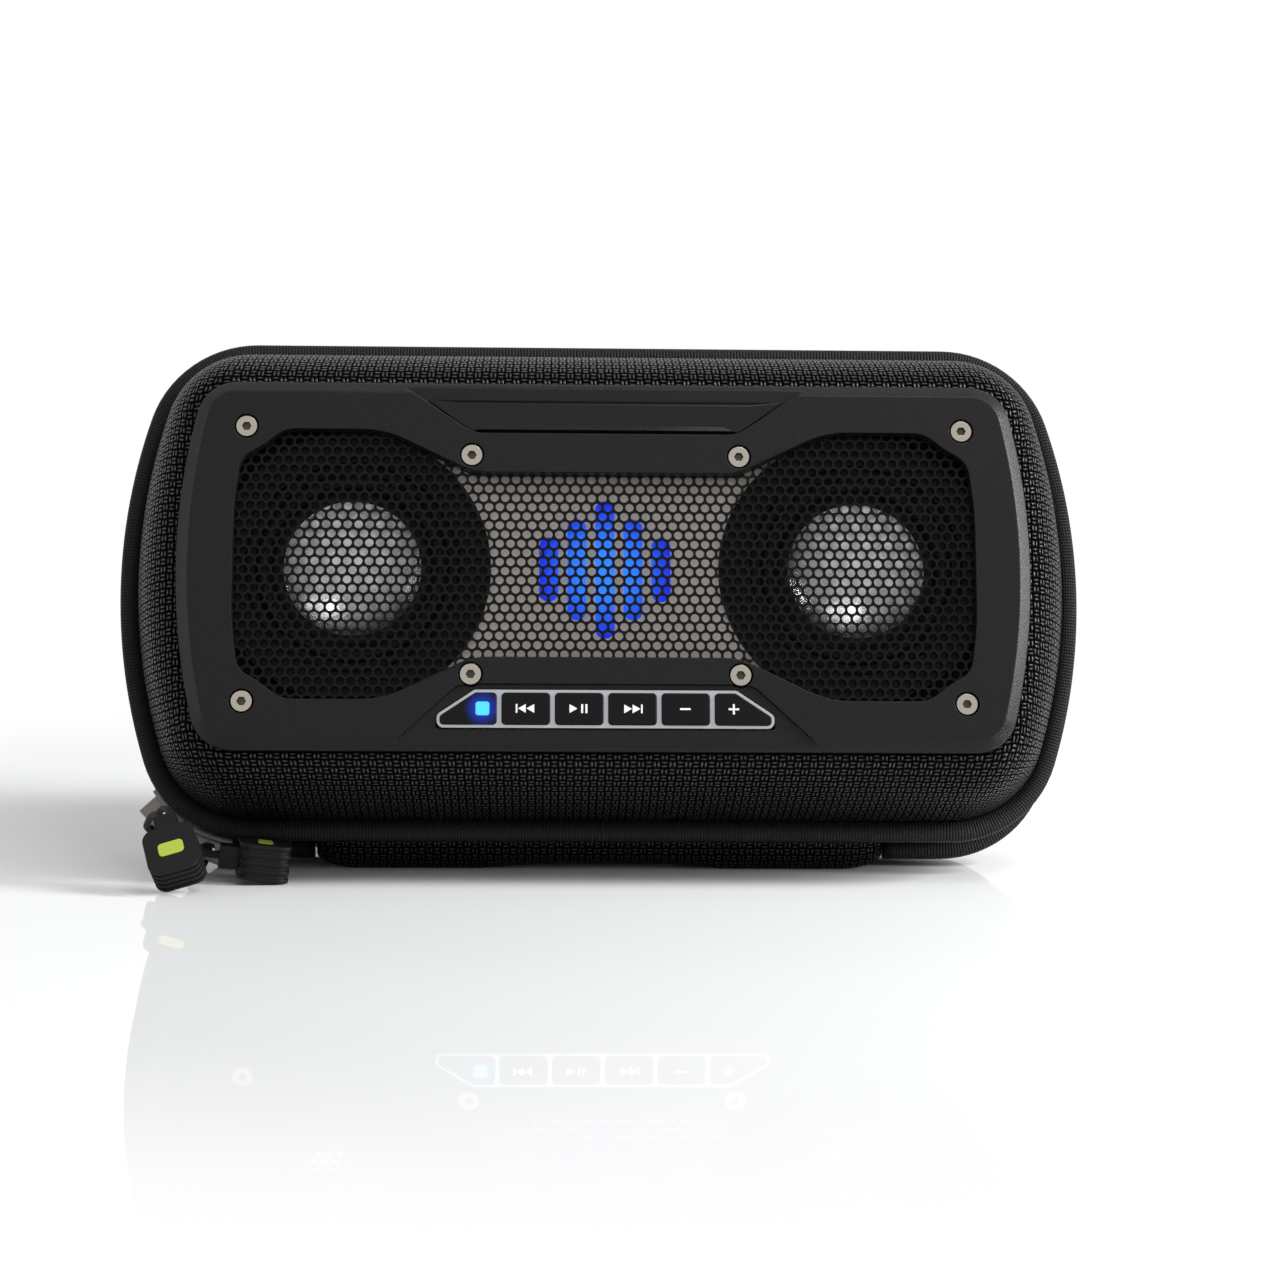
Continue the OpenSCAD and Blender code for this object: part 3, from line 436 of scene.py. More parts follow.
ribbed = new_material("ribbed_binding_tape", "#1c1c1e", 0.5, {"Specular IOR Level": 0.12})
ribbed_place = add(ribbed, "TexCoord").outputs["UV"]
ribs = rippled(ribbed, ribbed_place, rib_pitch, "X", 0.8)
threads = rippled(ribbed, ribbed_place, 0.5, "Y", 0.7)
grain = add(ribbed, "TexNoise", None, {"Vector": ribbed_place, "Scale": 1.6, "Detail": 2.0})
rough_ribs = add(ribbed, "Math", {"operation": "MULTIPLY_ADD"}, {0: grain.outputs["Fac"], 1: 0.35, 2: ribs})
rib_height = add(ribbed, "Math", {"operation": "MULTIPLY_ADD"}, {0: threads, 1: 0.35, 2: rough_ribs})
link(ribbed, add(ribbed, "Bump", None, {"Height": rib_height, "Distance": 0.16 * MM}), "Normal")
# Painted shade: the grooves between the ribs are coloured darker than the ribs
link(ribbed, add(ribbed, "MixRGB", None, {0: ribs, 1: linear("#040405"), 2: linear("#1d1d1f")}), "Base Color")


def strip(name, stations, section, wraps, materials, across=None):
    """A strip run along the outline, with the cloth along it. The section is a closed list of height and
    grow, or of functions that give them at a station. Across is its place in the flat cloth."""
    along = lengths([grown(s, 0) for s in stations + stations[:1]])
    across = across or lengths([Vector(p) for p in section])
    count = len(stations) if wraps else len(stations) - 1

    def shape(i, j):
        h, grow = section[j](i) if callable(section[j]) else section[j]
        p = grown(stations[i % len(stations)], grow)
        return at(p.x, h, p.y)

    return formed(name, count, len(section) - 1, shape, lambda i, j: (along[i], across[j]), materials)


def fold(front, depth, sign):
    """Rounded fold from the face next to the zip to the face next to the shell, closed at its foot."""
    points = [(0, 0.1 - band_w)]
    for k in range(fold_rows + 1):
        a = math.pi * k / fold_rows
        points.append((depth / 2 * (1 - math.copysign(abs(math.cos(a)) ** 0.62, math.cos(a))),
                       tape_t * (math.sin(a) ** 0.8 - 1)))
    points += [(depth, 0.1 - band_w), points[0]]
    return [(front + sign * d, grow) for d, grow in points]


front_binding = strip("front_binding_tape", seam, fold(tape_w + 0.2, band_depth, 1), True, [ribbed])
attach(front_binding, "front_case")
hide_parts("front_binding")

# The rear binding stops at the spine's ends
spine_half = 56


def opened(stations):
    """The stations from one end of the spine round the top to the other."""
    low = stations[0][1]
    kept = [s for s in stations if s[1] > low + 0.01 or abs(s[0]) > spine_half + 0.5]
    return [(spine_half + 0.5, low, 0, -1)] + kept + [(-spine_half - 0.5, low, 0, -1)]


def capped(piece):
    """Closes the open ends of a strip."""
    edit(piece)
    bpy.ops.mesh.select_all(action="DESELECT")
    bpy.ops.mesh.select_non_manifold()
    bpy.ops.mesh.edge_face_add()
    leave_edit()


rear_binding = strip("rear_binding_tape", opened(rear_edge), fold(-3.9, band_depth, -1), False, [ribbed])
capped(rear_binding)
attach(rear_binding, "rear_cover")
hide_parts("rear_binding")

# Zip: two knitted tapes with coil teeth, 1.2 mm apart, that meet in the plane between the halves. The
# stretch at the lower left corner, where both sliders park, stays with the front.
tooth_pitch = 1.2
zip_tape = new_material("zip_tape_knitted", "#141416", 0.6, {"Specular IOR Level": 0.35})
zip_place = add(zip_tape, "TexCoord").outputs["UV"]
zip_rows = rippled(zip_tape, zip_place, 0.6, "X", 0.7)
link(zip_tape, add(zip_tape, "Bump", None, {"Height": zip_rows, "Distance": 0.12 * MM}), "Normal")


def resampled(stations, pitch):
    """The same line with a station every pitch."""
    reach = lengths([grown(s, 0) for s in stations])
    count = round(reach[-1] / pitch)
    fine, k = [], 0
    for n in range(count + 1):
        goal = reach[-1] * n / count
        while k < len(reach) - 2 and reach[k + 1] < goal:
            k += 1
        t = (goal - reach[k]) / (reach[k + 1] - reach[k])
        fine.append(tuple(a + (b - a) * t for a, b in zip(stations[k], stations[k + 1])))
    return fine


def zip_tooth(sign, height, depth):
    """One row of the tooth's section: tall at every other station, which makes the coil."""
    return lambda i: (sign * (seam_gap + depth), tape_t - band_w + height * (1.0 if i % 2 else 0.55))


def tape(name, stations, sign):
    deep = seam_gap + tape_w
    rows = [(sign * deep, 0.1 - band_w), (sign * deep, tape_t - band_w), (sign * (seam_gap + tooth_w), tape_t - band_w),
            zip_tooth(sign, tooth_h * 0.8, tooth_w * 0.85), zip_tooth(sign, tooth_h, tooth_w * 0.4),
            zip_tooth(sign, tooth_h * 0.8, 0), (sign * seam_gap, 0.1 - band_w), (sign * deep, 0.1 - band_w)]
    piece = strip(name, resampled(stations, tooth_pitch / 2), rows, False, [zip_tape], range(len(rows)))
    capped(piece)
    return piece


zip_line = opened(seam)
park = next(i for i, s in enumerate(zip_line) if s[0] < 0 and s[1] < -corner_z - 0.5)
half_step = tuple((a + b) / 2 for a, b in zip(zip_line[park - 1], zip_line[park]))
for name, node, stations, sign, rides in (
        ("zip_front_tape", "zip_front", zip_line, 1, "front_case"),
        ("zip_rear_tape", "zip_rear", zip_line[:park], -1, "rear_cover"),
        ("zip_tail_tape", "zip_tail", [half_step] + zip_line[park:], -1, "front_case")):
    piece = tape(name, stations, sign)
    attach(piece, rides)
    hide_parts(node)

# Hinge spine: the nylon folded over a webbing core, under the case's open edge. Its flat underside is
# what the speaker stands on, and it lifts a little off the table in its middle.


def spine_section():
    """Corners of the fold half way along the spine, front first."""
    lean = math.atan2(-back.z, back.y)
    foot_h = -(case_h / 2 + 2.8)

    def foot_z(y):
        return (y * math.sin(lean) + foot_h) / math.cos(lean)

    corners = [(3.35, 0.1 - case_h / 2 + band_w), (3.35, 0.4 - case_h / 2), (0.6, foot_z(3) + 1.3), (-3, foot_z(3)),
               (-13.7, foot_z(13.7)), (-13.7, rear_band - rear_h / 2 - 0.4), (-8.7, rear_band - rear_h / 2 - 0.4),
               (-7.6, band_w - rear_h / 2 - 0.4), (-3.6, band_w - rear_h / 2 - 0.4), (-2.9, band_w - case_h / 2 - 0.4),
               (-0.3, band_w - case_h / 2 - 0.4), (0.15, band_w - case_h / 2 - 0.05)]
    return [at(0, h, z) for h, z in corners]


def rounded_corner(p, a, b, cut, steps):
    """Points round the corner p between the directions a and b, from cut before it to cut after it."""
    start, end = p + a.normalized() * cut, p + b.normalized() * cut
    return [start * (1 - t) ** 2 + p * 2 * t * (1 - t) + end * t * t for t in (s / steps for s in range(steps + 1))]


def rounded_loop(points, radius):
    """Points round a closed loop with its corners rounded."""
    made = []
    for k, p in enumerate(points):
        a, b = points[k - 1] - p, points[(k + 1) % len(points)] - p
        made += rounded_corner(p, a, b, min(radius, a.length / 2.2, b.length / 2.2), 4)
    return made


spine_round, arch_h, arch_half, spine_rows = 1.2, 1.2, 24, 40
spine_line = rounded_loop(spine_section(), spine_round * MM)
spine_line.append(spine_line[0])
spine_centre = sum(spine_line[:-1], Vector()) / (len(spine_line) - 1)
spine_around = lengths([p / MM for p in spine_line])
end_rows, end_l = 10, 8
spine_x = [-spine_half + end_l * (1 - math.cos(math.pi / 2 * k / end_rows)) for k in range(end_rows + 1)]
spine_x += [-spine_half + end_l + (2 * spine_half - 2 * end_l) * k / spine_rows for k in range(1, spine_rows)]
spine_x += [-x for x in spine_x[:end_rows + 1]][::-1]


def spine_point(i, j):
    """The spine narrows to rounded ends, and its underside arches a little in the middle."""
    x = spine_x[i]
    inward = max(0.0, abs(x) - spine_half + end_l) / end_l
    shrunk = math.sqrt(max(0.0, 1 - inward ** 2)) if inward < 1 else 0.0
    p = spine_centre + (spine_line[j] - spine_centre) * (0.4 + 0.6 * shrunk if inward < 1 else 0.0)
    arch = arch_h * MM * max(0.0, 1 - (x / arch_half) ** 2) * max(0.0, 1 - p.z / (3 * MM))
    return Vector((x * MM, p.y, max(p.z, 0.0) + arch))


# The spine's nylon is the shells' nylon drawn darker, as painted shade for where it lies under the case
spine = formed("hinge_spine_cloth", len(spine_x) - 1, len(spine_line) - 1, spine_point,
               lambda i, j: (spine_x[i], spine_around[j]),
               [basket_weave("hinge_nylon_woven_shaded", "#161617", "#030304", weave_block)])
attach(spine, "front_case")
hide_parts("hinge_spine")

# Zip sliders: die-cast zinc, tumbled and plated gunmetal, with a bridge for the pull's cord. Both ride
# on the zip's coil and park nose to nose at its lower left corner.


def softened(node, width, segments=2):
    """A finished copy of a machined or moulded piece: its flats made whole and its sharp edges broken."""
    piece = bpy.data.objects.new(node + "_piece", frame["nodes"][node].data.copy())
    bpy.context.scene.collection.objects.link(piece)
    piece.data.materials.clear()
    edit(piece)
    bpy.ops.mesh.remove_doubles(threshold=0.000004)
    bpy.ops.mesh.dissolve_limited(angle_limit=math.radians(1.2))
    leave_edit(False)
    if piece.data.has_custom_normals:
        bpy.ops.mesh.customdata_custom_splitnormals_clear()
    bevelled(piece, width, segments)
    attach(piece, body_of[node])
    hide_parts(node)
    return piece


def modified(piece, kind, **settings):
    """Puts a modifier on a piece and applies it."""
    take_up(piece)
    made = piece.modifiers.new(kind.lower(), kind)
    for name, value in settings.items():
        setattr(made, name, value)
    bpy.ops.object.modifier_apply(modifier=made.name)


def bevelled(piece, width, segments=2, clamp=True):
    """Breaks the sharp edges, smooths what is left and keeps the flats flat."""
    modified(piece, "BEVEL", width=width * MM, segments=segments, limit_method="ANGLE",
             use_clamp_overlap=clamp, angle_limit=math.radians(28), harden_normals=False)
    bpy.ops.object.shade_smooth_by_angle(angle=math.radians(32))
    modified(piece, "WEIGHTED_NORMAL", keep_sharp=True)


body_of = {node: body for body, nodes in frame["record"]["behaviour"]["bodies"].items() for node in nodes}


def dress(piece, *materials):
    """Gives a piece its materials in place of those it has."""
    piece.data.materials.clear()
    for material in materials:
        piece.data.materials.append(material)
    return piece


def grained(name, colour, roughness, scale, depth, inputs=None, second=None, detail=3.0, rough=None):
    """A finish with a grain over it, drawn coarser than real. Where the grain is high it can take a
    second colour, and rough is the range that its roughness runs through."""
    material = new_material(name, colour, roughness, inputs)
    place = add(material, "TexCoord").outputs["Object"]
    grit = add(material, "TexNoise", None, {"Vector": place, "Scale": scale, "Detail": detail}).outputs["Fac"]
    link(material, add(material, "Bump", None, {"Height": grit, "Distance": depth * MM}), "Normal")
    if second:
        link(material, add(material, "MixRGB", None, {0: grit, 1: linear(colour), 2: linear(second)}), "Base Color")
    if rough:
        link(material, add(material, "MapRange", None, {"Value": grit, "To Min": rough[0], "To Max": rough[1]}),
             "Roughness")
    return material


gunmetal = grained("gunmetal_plated_zinc", "#6d6965", 0.34, 1800.0, 0.03, {"Metallic": 1.0}, rough=(0.22, 0.5))
for node in ("slider_a", "slider_b"):
    dress(softened(node, 0.22), gunmetal)

# Pull cords: 1.3 mm braided polyester, from one side of a pull through the slider's bridge and back. The
# pull is moulded over both ends, which hold by friction.
cord_d, cord_sides = 1.3, 14
route_a = [(-82.3, -26.9, 13.2), (-83.2, -24.2, 14.2), (-84.4, -20.1, 14), (-85.5, -15.3, 13),
           (-86.3, -10.9, 11.7), (-86.6, -7.6, 10.7), (-86.5, -5.1, 10), (-86.7, -3.9, 9.4),
           (-87.7, -3.7, 8.4), (-88.8, -4.5, 7.5), (-89, -6.3, 7.9), (-88.9, -9.9, 9), (-88, -14.7, 10.8),
           (-86.8, -19.7, 12.6), (-85.5, -24.1, 13.4), (-84.5, -27, 12.6)]
route_b = [(-73.6, -22.4, 5.3), (-76, -22, 5.6), (-77.2, -20.4, 5.9), (-77.6, -17.9, 5.9),
           (-77.5, -14.9, 5.8), (-77.2, -11.7, 5.4), (-77, -8.6, 4.5), (-77, -6.9, 3.9), (-77.1, -5.7, 3.2),
           (-77.6, -5.7, 1.9), (-78.1, -6.6, 0.8), (-78.2, -8.4, 0.8), (-78.5, -11.6, 1.2),
           (-78.7, -14.5, 2.2), (-78.6, -17, 3.4), (-78, -18.8, 4.5), (-76.5, -19.9, 5.2),
           (-73.9, -20.1, 5.3)]
braid = new_material("braided_cord", "#202123", 0.7, {"Sheen Weight": 0.04, "Specular IOR Level": 0.12})
braid_place = add(braid, "TexCoord").outputs["UV"]
slant = add(braid, "Mapping", None, {"Vector": braid_place, "Rotation": (0, 0, math.radians(45))})
plait = add(braid, "Math", {"operation": "MULTIPLY"}, {0: rippled(braid, slant, 0.45, "X"),
                                                       1: rippled(braid, slant, 0.45, "Y")})
link(braid, add(braid, "Bump", None, {"Height": plait, "Distance": 0.12 * MM}), "Normal")
# Painted shade: the hollows between the plaited strands are coloured darker than the strands
link(braid, add(braid, "MixRGB", None, {0: plait, 1: linear("#08080a"), 2: linear("#2c2d30")}), "Base Color")


def curve_through(route, between=5):
    """A smooth line through given points, with a few more set between each pair."""
    points = [Vector(p) for p in route]
    line = []
    for k in range(len(points) - 1):
        a, b, c, d = (points[min(max(k + n, 0), len(points) - 1)] for n in (-1, 0, 1, 2))
        for s in range(between):
            t = s / between
            line.append(0.5 * (2 * b + (c - a) * t + (2 * a - 5 * b + 4 * c - d) * t * t
                               + (3 * b - a - 3 * c + d) * t ** 3))
    return line + [points[-1]]


for side, route in (("a", route_a), ("b", route_b)):
    line = curve_through(route)
    along = lengths(line)

    def tube(i, j):
        ahead = (line[min(i + 1, len(line) - 1)] - line[max(i - 1, 0)]).normalized()
        level = ahead.cross(Vector((0.2, 0.1, 1))).normalized()
        turn = 2 * math.pi * j / cord_sides
        return (line[i] + (level * math.cos(turn) + level.cross(ahead) * math.sin(turn)) * cord_d / 2) * MM

    cord = formed("pull_cord_" + side + "_braid", len(line) - 1, cord_sides, tube,
                  lambda i, j: (along[i], j * math.pi * cord_d / cord_sides), [braid])
    capped(cord)
    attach(cord, body_of["pull_cord_" + side])
    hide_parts("pull_cord_" + side)

# Pulls: square blocks of black rubber with ridged sides, moulded over the cord's ends. A lime rubber
# bar is set in each face.
rubber = grained("moulded_rubber", "#0d0d0e", 0.45, 900.0, 0.03, {"Specular IOR Level": 0.18},
                 detail=4.0, rough=(0.42, 0.68))
lime = grained("lime_rubber_inlay", "#b4c64a", 0.5, 1500.0, 0.02, {"Specular IOR Level": 0.35}, detail=2.0)
for side in ("a", "b"):
    dress(softened("pull_" + side, 0.14), rubber)
    dress(softened("pull_inlay_" + side, 0.12), lime)

# Bezel: a frame moulded in black ABS with a fine spark-eroded texture, drawn coarser than real. A broad
# chamfer runs round it, and two pockets are sunk in its face, for the label bar at the top and the keys
# at the bottom. Eight screws clamp it and the edge of the front shell to the baffle.
bezel_t, chamfer_w, chamfer_h, pocket_d = 3, 2.3, 1.7, 0.9
face_h = front_depth
bezel_top = face_h + bezel_t
break_w = 0.28

abs_black = new_material("textured_abs", "#0e0e0f", 0.36, {"Specular IOR Level": 0.2})
abs_place = add(abs_black, "TexCoord").outputs["Object"]
spark = add(abs_black, "TexNoise", None, {"Vector": abs_place, "Scale": 3200.0, "Detail": 3.0, "Roughness": 0.6})
link(abs_black, add(abs_black, "Bump", None, {"Height": spark.outputs["Fac"], "Distance": 0.05 * MM}), "Normal")
speck = add(abs_black, "MapRange", None, {"Value": spark.outputs["Fac"], "From Min": 0.35, "From Max": 0.75})
link(abs_black, add(abs_black, "MixRGB", None, {0: speck, 1: linear("#070708"), 2: linear("#151516")}), "Base Color")


def prism(name, points, low, high):
    """A flat outline in x and z, filled and drawn out from one height to another."""
    bpy.ops.object.select_all(action="DESELECT")
    bpy.ops.mesh.primitive_circle_add(vertices=len(points), fill_type="NGON")
    piece = bpy.context.object
    piece.name = name
    for vertex, (x, z) in zip(piece.data.vertices, points):
        vertex.co = at(x, low, z)
    edit(piece)
    bpy.ops.mesh.extrude_region_move(TRANSFORM_OT_translate={"value": -back * (high - low) * MM})
    leave_edit()
    return piece


def filleted(corners):
    """An outline from corners of x, z and how far from the corner its rounding starts."""
    made = []
    for k, (x, z, cut) in enumerate(corners):
        p = Vector((x, z))
        a = Vector(corners[k - 1][:2]) - p
        b = Vector(corners[(k + 1) % len(corners)][:2]) - p
        made += [tuple(q) for q in rounded_corner(p, a, b, cut, 5)]
    return made


def mirrored(half):
    """A closed outline from its upper right quarter, mirrored both ways."""
    lower = [(x, -z, cut) for x, z, cut in reversed(half) if z > 0]
    right_half = lower + half
    return right_half + [(-x, z, cut) for x, z, cut in reversed(right_half)]


def spread(corners, grow):
    """An outline's corners, moved out all round by grow."""
    turning = sum(a[0] * b[1] - b[0] * a[1] for a, b in zip(corners, corners[1:] + corners[:1]))
    made = []
    for k, (x, z, cut) in enumerate(corners):
        p = Vector((x, z))
        a = (p - Vector(corners[k - 1][:2])).normalized()
        b = (Vector(corners[(k + 1) % len(corners)][:2]) - p).normalized()
        na, nb = Vector((a.y, -a.x)), Vector((b.y, -b.x))
        q = p + (na + nb) * math.copysign(grow, turning) / (1 + na.dot(nb))
        made.append((q.x, q.y, cut))
    return made


def window_outline(grow):
    """The window: two wide ends with notched corners, joined by a narrow waist."""
    quarter = [(71.4, 0, 0), (71.1, 11, 4), (69.9, 20.6, 2.4), (65.5, 23.1, 1.6), (61.6, 26.3, 2.2),
               (42.4, 26.3, 4.5), (25.4, 18, 3)]
    return filleted([corner for corner in spread(mirrored(quarter), grow) if corner[2]])


def cut(piece, cutters):
    """Cuts each shape out of the piece and removes it."""
    for cutter in cutters:
        modified(piece, "BOOLEAN", operation="DIFFERENCE", object=cutter, solver="EXACT")
        bpy.data.objects.remove(cutter)


bezel = prism("bezel_frame", [tuple(grown(s, 0)) for s in frame_edge], face_h, bezel_top - chamfer_h)
edit(bezel)
bpy.ops.mesh.select_all(action="DESELECT")
leave_edit(False)
outward = -back
for face in bezel.data.polygons:
    face.select = face.normal.dot(outward) > 0.9
bpy.ops.object.mode_set(mode="EDIT")
bpy.ops.mesh.extrude_region_move(TRANSFORM_OT_translate={"value": outward * chamfer_h * MM})
leave_edit(False)
stations_at = [(at(s[0], bezel_top, s[1]), s) for s in frame_edge]
for vertex in bezel.data.vertices:
    if vertex.select:
        near = min(stations_at, key=lambda pair: (pair[0] - vertex.co).length_squared)[1]
        p = grown(near, -chamfer_w)
        vertex.co = at(p.x, bezel_top, p.y)

key_slot = [(-24.7, -25, 1), (-31.4, -29.5, 0.8), (-31.4, -31, 0.5), (31.4, -31, 0.5), (31.4, -29.5, 0.8),
            (24.7, -25, 1)]

outer_screw, inner_screw = (68.9, 26.8), (25.7, 21.4)
screws = [(sx * x, sz * z) for x, z in (outer_screw, inner_screw) for sx in (-1, 1) for sz in (-1, 1)]
past, slot_gap, socket_r, socket_h = 1.0, 0.75, 2.3, 1.7
cutters = [prism("cutter", window_outline(0), face_h - past, bezel_top + past)]
for pocket in ([(-25.3, 25.8, 2), (25.3, 25.8, 2), (43.5, 38, 1), (-43.5, 38, 1)],
               [(-27.9, -23.3, 2), (27.9, -23.3, 2), (43.8, -38, 1), (-43.8, -38, 1)]):
    cutters.append(prism("cutter", filleted(pocket), bezel_top - pocket_d, bezel_top + past))
cutters.append(prism("cutter", filleted(spread(key_slot, slot_gap)), face_h - past, bezel_top))
for x, z in screws:
    ring = [(x + socket_r * math.cos(a), z + socket_r * math.sin(a)) for a in (math.pi * k / 16 for k in range(32))]
    cutters.append(prism("cutter", ring, bezel_top - socket_h, bezel_top + past))
cut(bezel, cutters)
closed(bezel)
bevelled(bezel, break_w, 2, False)
dress(bezel, abs_black)
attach(bezel, "front_case")
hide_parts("bezel")

# Label bar: gloss black acrylic, machined with a bevelled face and pointed ends, and bonded in the upper
# pocket with tape. It is left bare.
gloss_black = new_material("gloss_black_acrylic", "#060607", 0.08, {"Specular IOR Level": 0.28})
dress(softened("label_bar", 0.18, 3), gloss_black)

# Screws: stainless M2.5 socket screws with turned, bright heads and rolled rims. Eight hold the bezel, and
# others hold the back box and the drivers.
stainless = grained("stainless_turned", "#aaa397", 0.2, 2500.0, 0.015, {"Metallic": 1.0}, detail=2.0, rough=(0.1, 0.3))
socket_dark = grained("socket_shadowed_steel", "#4c473f", 0.4, 3000.0, 0.02, {"Metallic": 0.8}, detail=2.0)
key_hole_r = 0.95
for node in ("bezel_screws", "back_box_screws", "driver_screws"):
    head = dress(softened(node, 0.16), stainless, socket_dark)
    if node == "bezel_screws":
        for face in head.data.polygons:
            x, h, z = in_case(face.center)
            near = min(math.hypot(x - sx, z - sz) for sx, sz in screws)
            face.material_index = int(near < key_hole_r and 29.0 < h < bezel_top - 0.3)

# Grille: 0.6 mm steel sheet, punched with hexagons at 2.08 mm and powder coated black. The bezel clamps
# its edge against the baffle.
grille_t, hex_pitch, web, hole_corner = 0.6, 2.08, 0.46, 0.24
sheet_gap, tuck, screw_clear, rolled_w = 0.05, 1.3, 2.0, 0.12
row_pitch = hex_pitch * math.sqrt(3) / 2
columns, double_rows = 72, 16

powder = grained("black_powder_coat", "#060607", 0.3, 2600.0, 0.02, {"Specular IOR Level": 0.12}, detail=1.0)
# The coat lies thick and smooth over the walls of the holes, which glint
powder_edge = grained("black_powder_coat_edge", "#0a0a0b", 0.25, 2600.0, 0.02, {"Specular IOR Level": 0.6}, detail=1.0)

bpy.ops.object.select_all(action="DESELECT")
bpy.ops.mesh.primitive_circle_add(vertices=6, radius=hex_pitch / math.sqrt(3) * MM, fill_type="NGON")
grille = bpy.context.object
grille.name = "grille_sheet"
edit(grille)
bpy.ops.mesh.inset(thickness=web / 2 * MM)
bpy.ops.mesh.bevel(affect="VERTICES", offset=hole_corner * MM, segments=1)
bpy.ops.mesh.select_all(action="DESELECT")
leave_edit(False)
hole = min(grille.data.polygons, key=lambda face: face.center.length)
hole.select = True
bpy.ops.object.mode_set(mode="EDIT")
bpy.ops.mesh.select_mode(type="FACE")
bpy.ops.mesh.delete(type="FACE")
bpy.ops.mesh.select_all(action="DESELECT")
leave_edit(False)
for count, step in ((2, (hex_pitch / 2 * MM, row_pitch * MM, 0)), (columns, (hex_pitch * MM, 0, 0)),
                    (double_rows, (0, 2 * row_pitch * MM, 0))):
    modified(grille, "ARRAY", count=count, use_relative_offset=False, use_constant_offset=True,
             constant_offset_displace=step)


def inside(outline_points, x, z):
    """Whether a point lies inside a closed outline."""
    odd = False
    for (ax, az), (bx, bz) in zip(outline_points, outline_points[1:] + outline_points[:1]):
        if (az > z) != (bz > z) and x < ax + (z - az) * (bx - ax) / (bz - az):
            odd = not odd
    return odd


sheet_edge = window_outline(tuck)
left, low = -hex_pitch * (columns / 2 - 0.25), -row_pitch * (double_rows - 0.5)
for vertex in grille.data.vertices:
    vertex.co = Vector((vertex.co.x + left * MM, vertex.co.y + low * MM, 0))
for face in grille.data.polygons:
    x, z = face.center.x / MM, face.center.y / MM
    clear = all(math.hypot(x - sx, z - sz) > screw_clear for sx, sz in screws)
    face.select = not (clear and inside(sheet_edge, x, z))
bpy.ops.object.mode_set(mode="EDIT")
bpy.ops.mesh.select_mode(type="FACE")
bpy.ops.mesh.delete(type="FACE")
bpy.ops.mesh.select_mode(type="VERT")
leave_edit(False)
for vertex in grille.data.vertices:
    vertex.co = at(vertex.co.x / MM, face_h + sheet_gap, vertex.co.y / MM)
closed(grille, outwards=False)
modified(grille, "SOLIDIFY", thickness=grille_t * MM, material_offset_rim=1,
         offset=1 if grille.data.polygons[0].normal.dot(outward) > 0 else -1)
closed(grille)
# The punch rolls the front edge of each hole; the far side stays sharp
on_front = [in_case(vertex.co)[1] > face_h + sheet_gap + grille_t / 2 for vertex in grille.data.vertices]
rolled = {key for face in grille.data.polygons if face.material_index == 1 for key in face.edge_keys
          if on_front[key[0]] and on_front[key[1]]}
weights = grille.data.attributes.new("bevel_weight_edge", "FLOAT", "EDGE")
weights.data.foreach_set("value", [float(tuple(sorted(edge.vertices)) in rolled) for edge in grille.data.edges])
modified(grille, "BEVEL", width=rolled_w * MM, material=1, limit_method="WEIGHT")
dress(grille, powder, powder_edge)
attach(grille, "front_case")
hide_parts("grille")

# Key row: six keys moulded in black plastic with white pad-printed signs, on the switches of the board
# behind them. A web of plastic in silver satin paint frames them and snaps into the bezel.
key_pitch, key_z = 10.12, -28
key_top = bezel_top - 0.1
silver = grained("silver_satin_paint", "#a9acb0", 0.35, 6000.0, 0.01, {"Metallic": 0.7}, detail=1.0)
dress(softened("key_frame", 0.1), silver)
key_black = grained("satin_key_plastic", "#0c0c0e", 0.32, 2500.0, 0.01, {"Specular IOR Level": 0.12}, detail=2.0)
ink = grained("white_pad_print", "#e9ebee", 0.5, 5000.0, 0.005, {"Specular IOR Level": 0.3}, detail=2.0)
keys = ["key_power", "key_prev", "key_play", "key_next", "key_minus", "key_plus"]
for node in keys:
    dress(softened(node, 0.3, 3), key_black)

sign_h = 0.85


def arrow(x, way):
    """A triangle that points left or right."""
    return [(x - 0.75 * way, sign_h), (x - 0.75 * way, -sign_h), (x + 0.75 * way, 0)]


def bar(x, half_w, half_h):
    """A rectangle about x."""
    return [(x - half_w, half_h), (x - half_w, -half_h), (x + half_w, -half_h), (x + half_w, half_h)]


signs = {"key_prev": [bar(-1.75, 0.16, sign_h), arrow(-0.75, -1), arrow(0.85, -1)],
         "key_play": [arrow(-1.1, 1), bar(0.55, 0.2, sign_h), bar(1.35, 0.2, sign_h)],
         "key_next": [arrow(-0.85, 1), arrow(0.75, 1), bar(1.75, 0.16, sign_h)],
         "key_minus": [bar(0, 1.0, 0.18)],
         "key_plus": [bar(0, 1.0, 0.18), bar(0, 0.18, 1.0)]}


def joined(name, pieces):
    """Makes one piece of several."""
    bpy.ops.object.select_all(action="DESELECT")
    for piece in pieces:
        piece.select_set(True)
    bpy.context.view_layer.objects.active = pieces[0]
    if len(pieces) > 1:
        bpy.ops.object.join()
    pieces[0].name = name
    return pieces[0]


ink_t = 0.04
for node, shapes in signs.items():
    place_x = (keys.index(node) - 2.5) * key_pitch + {"key_minus": -0.1, "key_plus": -1.0}.get(node, 0)
    marks = [prism("mark", [(place_x + x, key_z + z) for x, z in shape], key_top, key_top + ink_t + 0.01 * k)
             for k, shape in enumerate(shapes)]
    sign = dress(joined(node + "_sign", marks), ink)
    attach(sign, node)

# Power light: a clear lens pressed into the power key, flush with its face, over a blue lamp on the key
# board.
blue_lens = new_material("blue_lit_lens", "#2f9dff", 0.2, {"Emission Color": linear("#3fa2ff"),
                                                           "Emission Strength": 1.1})
dress(softened("power_light", 0.12), blue_lens)

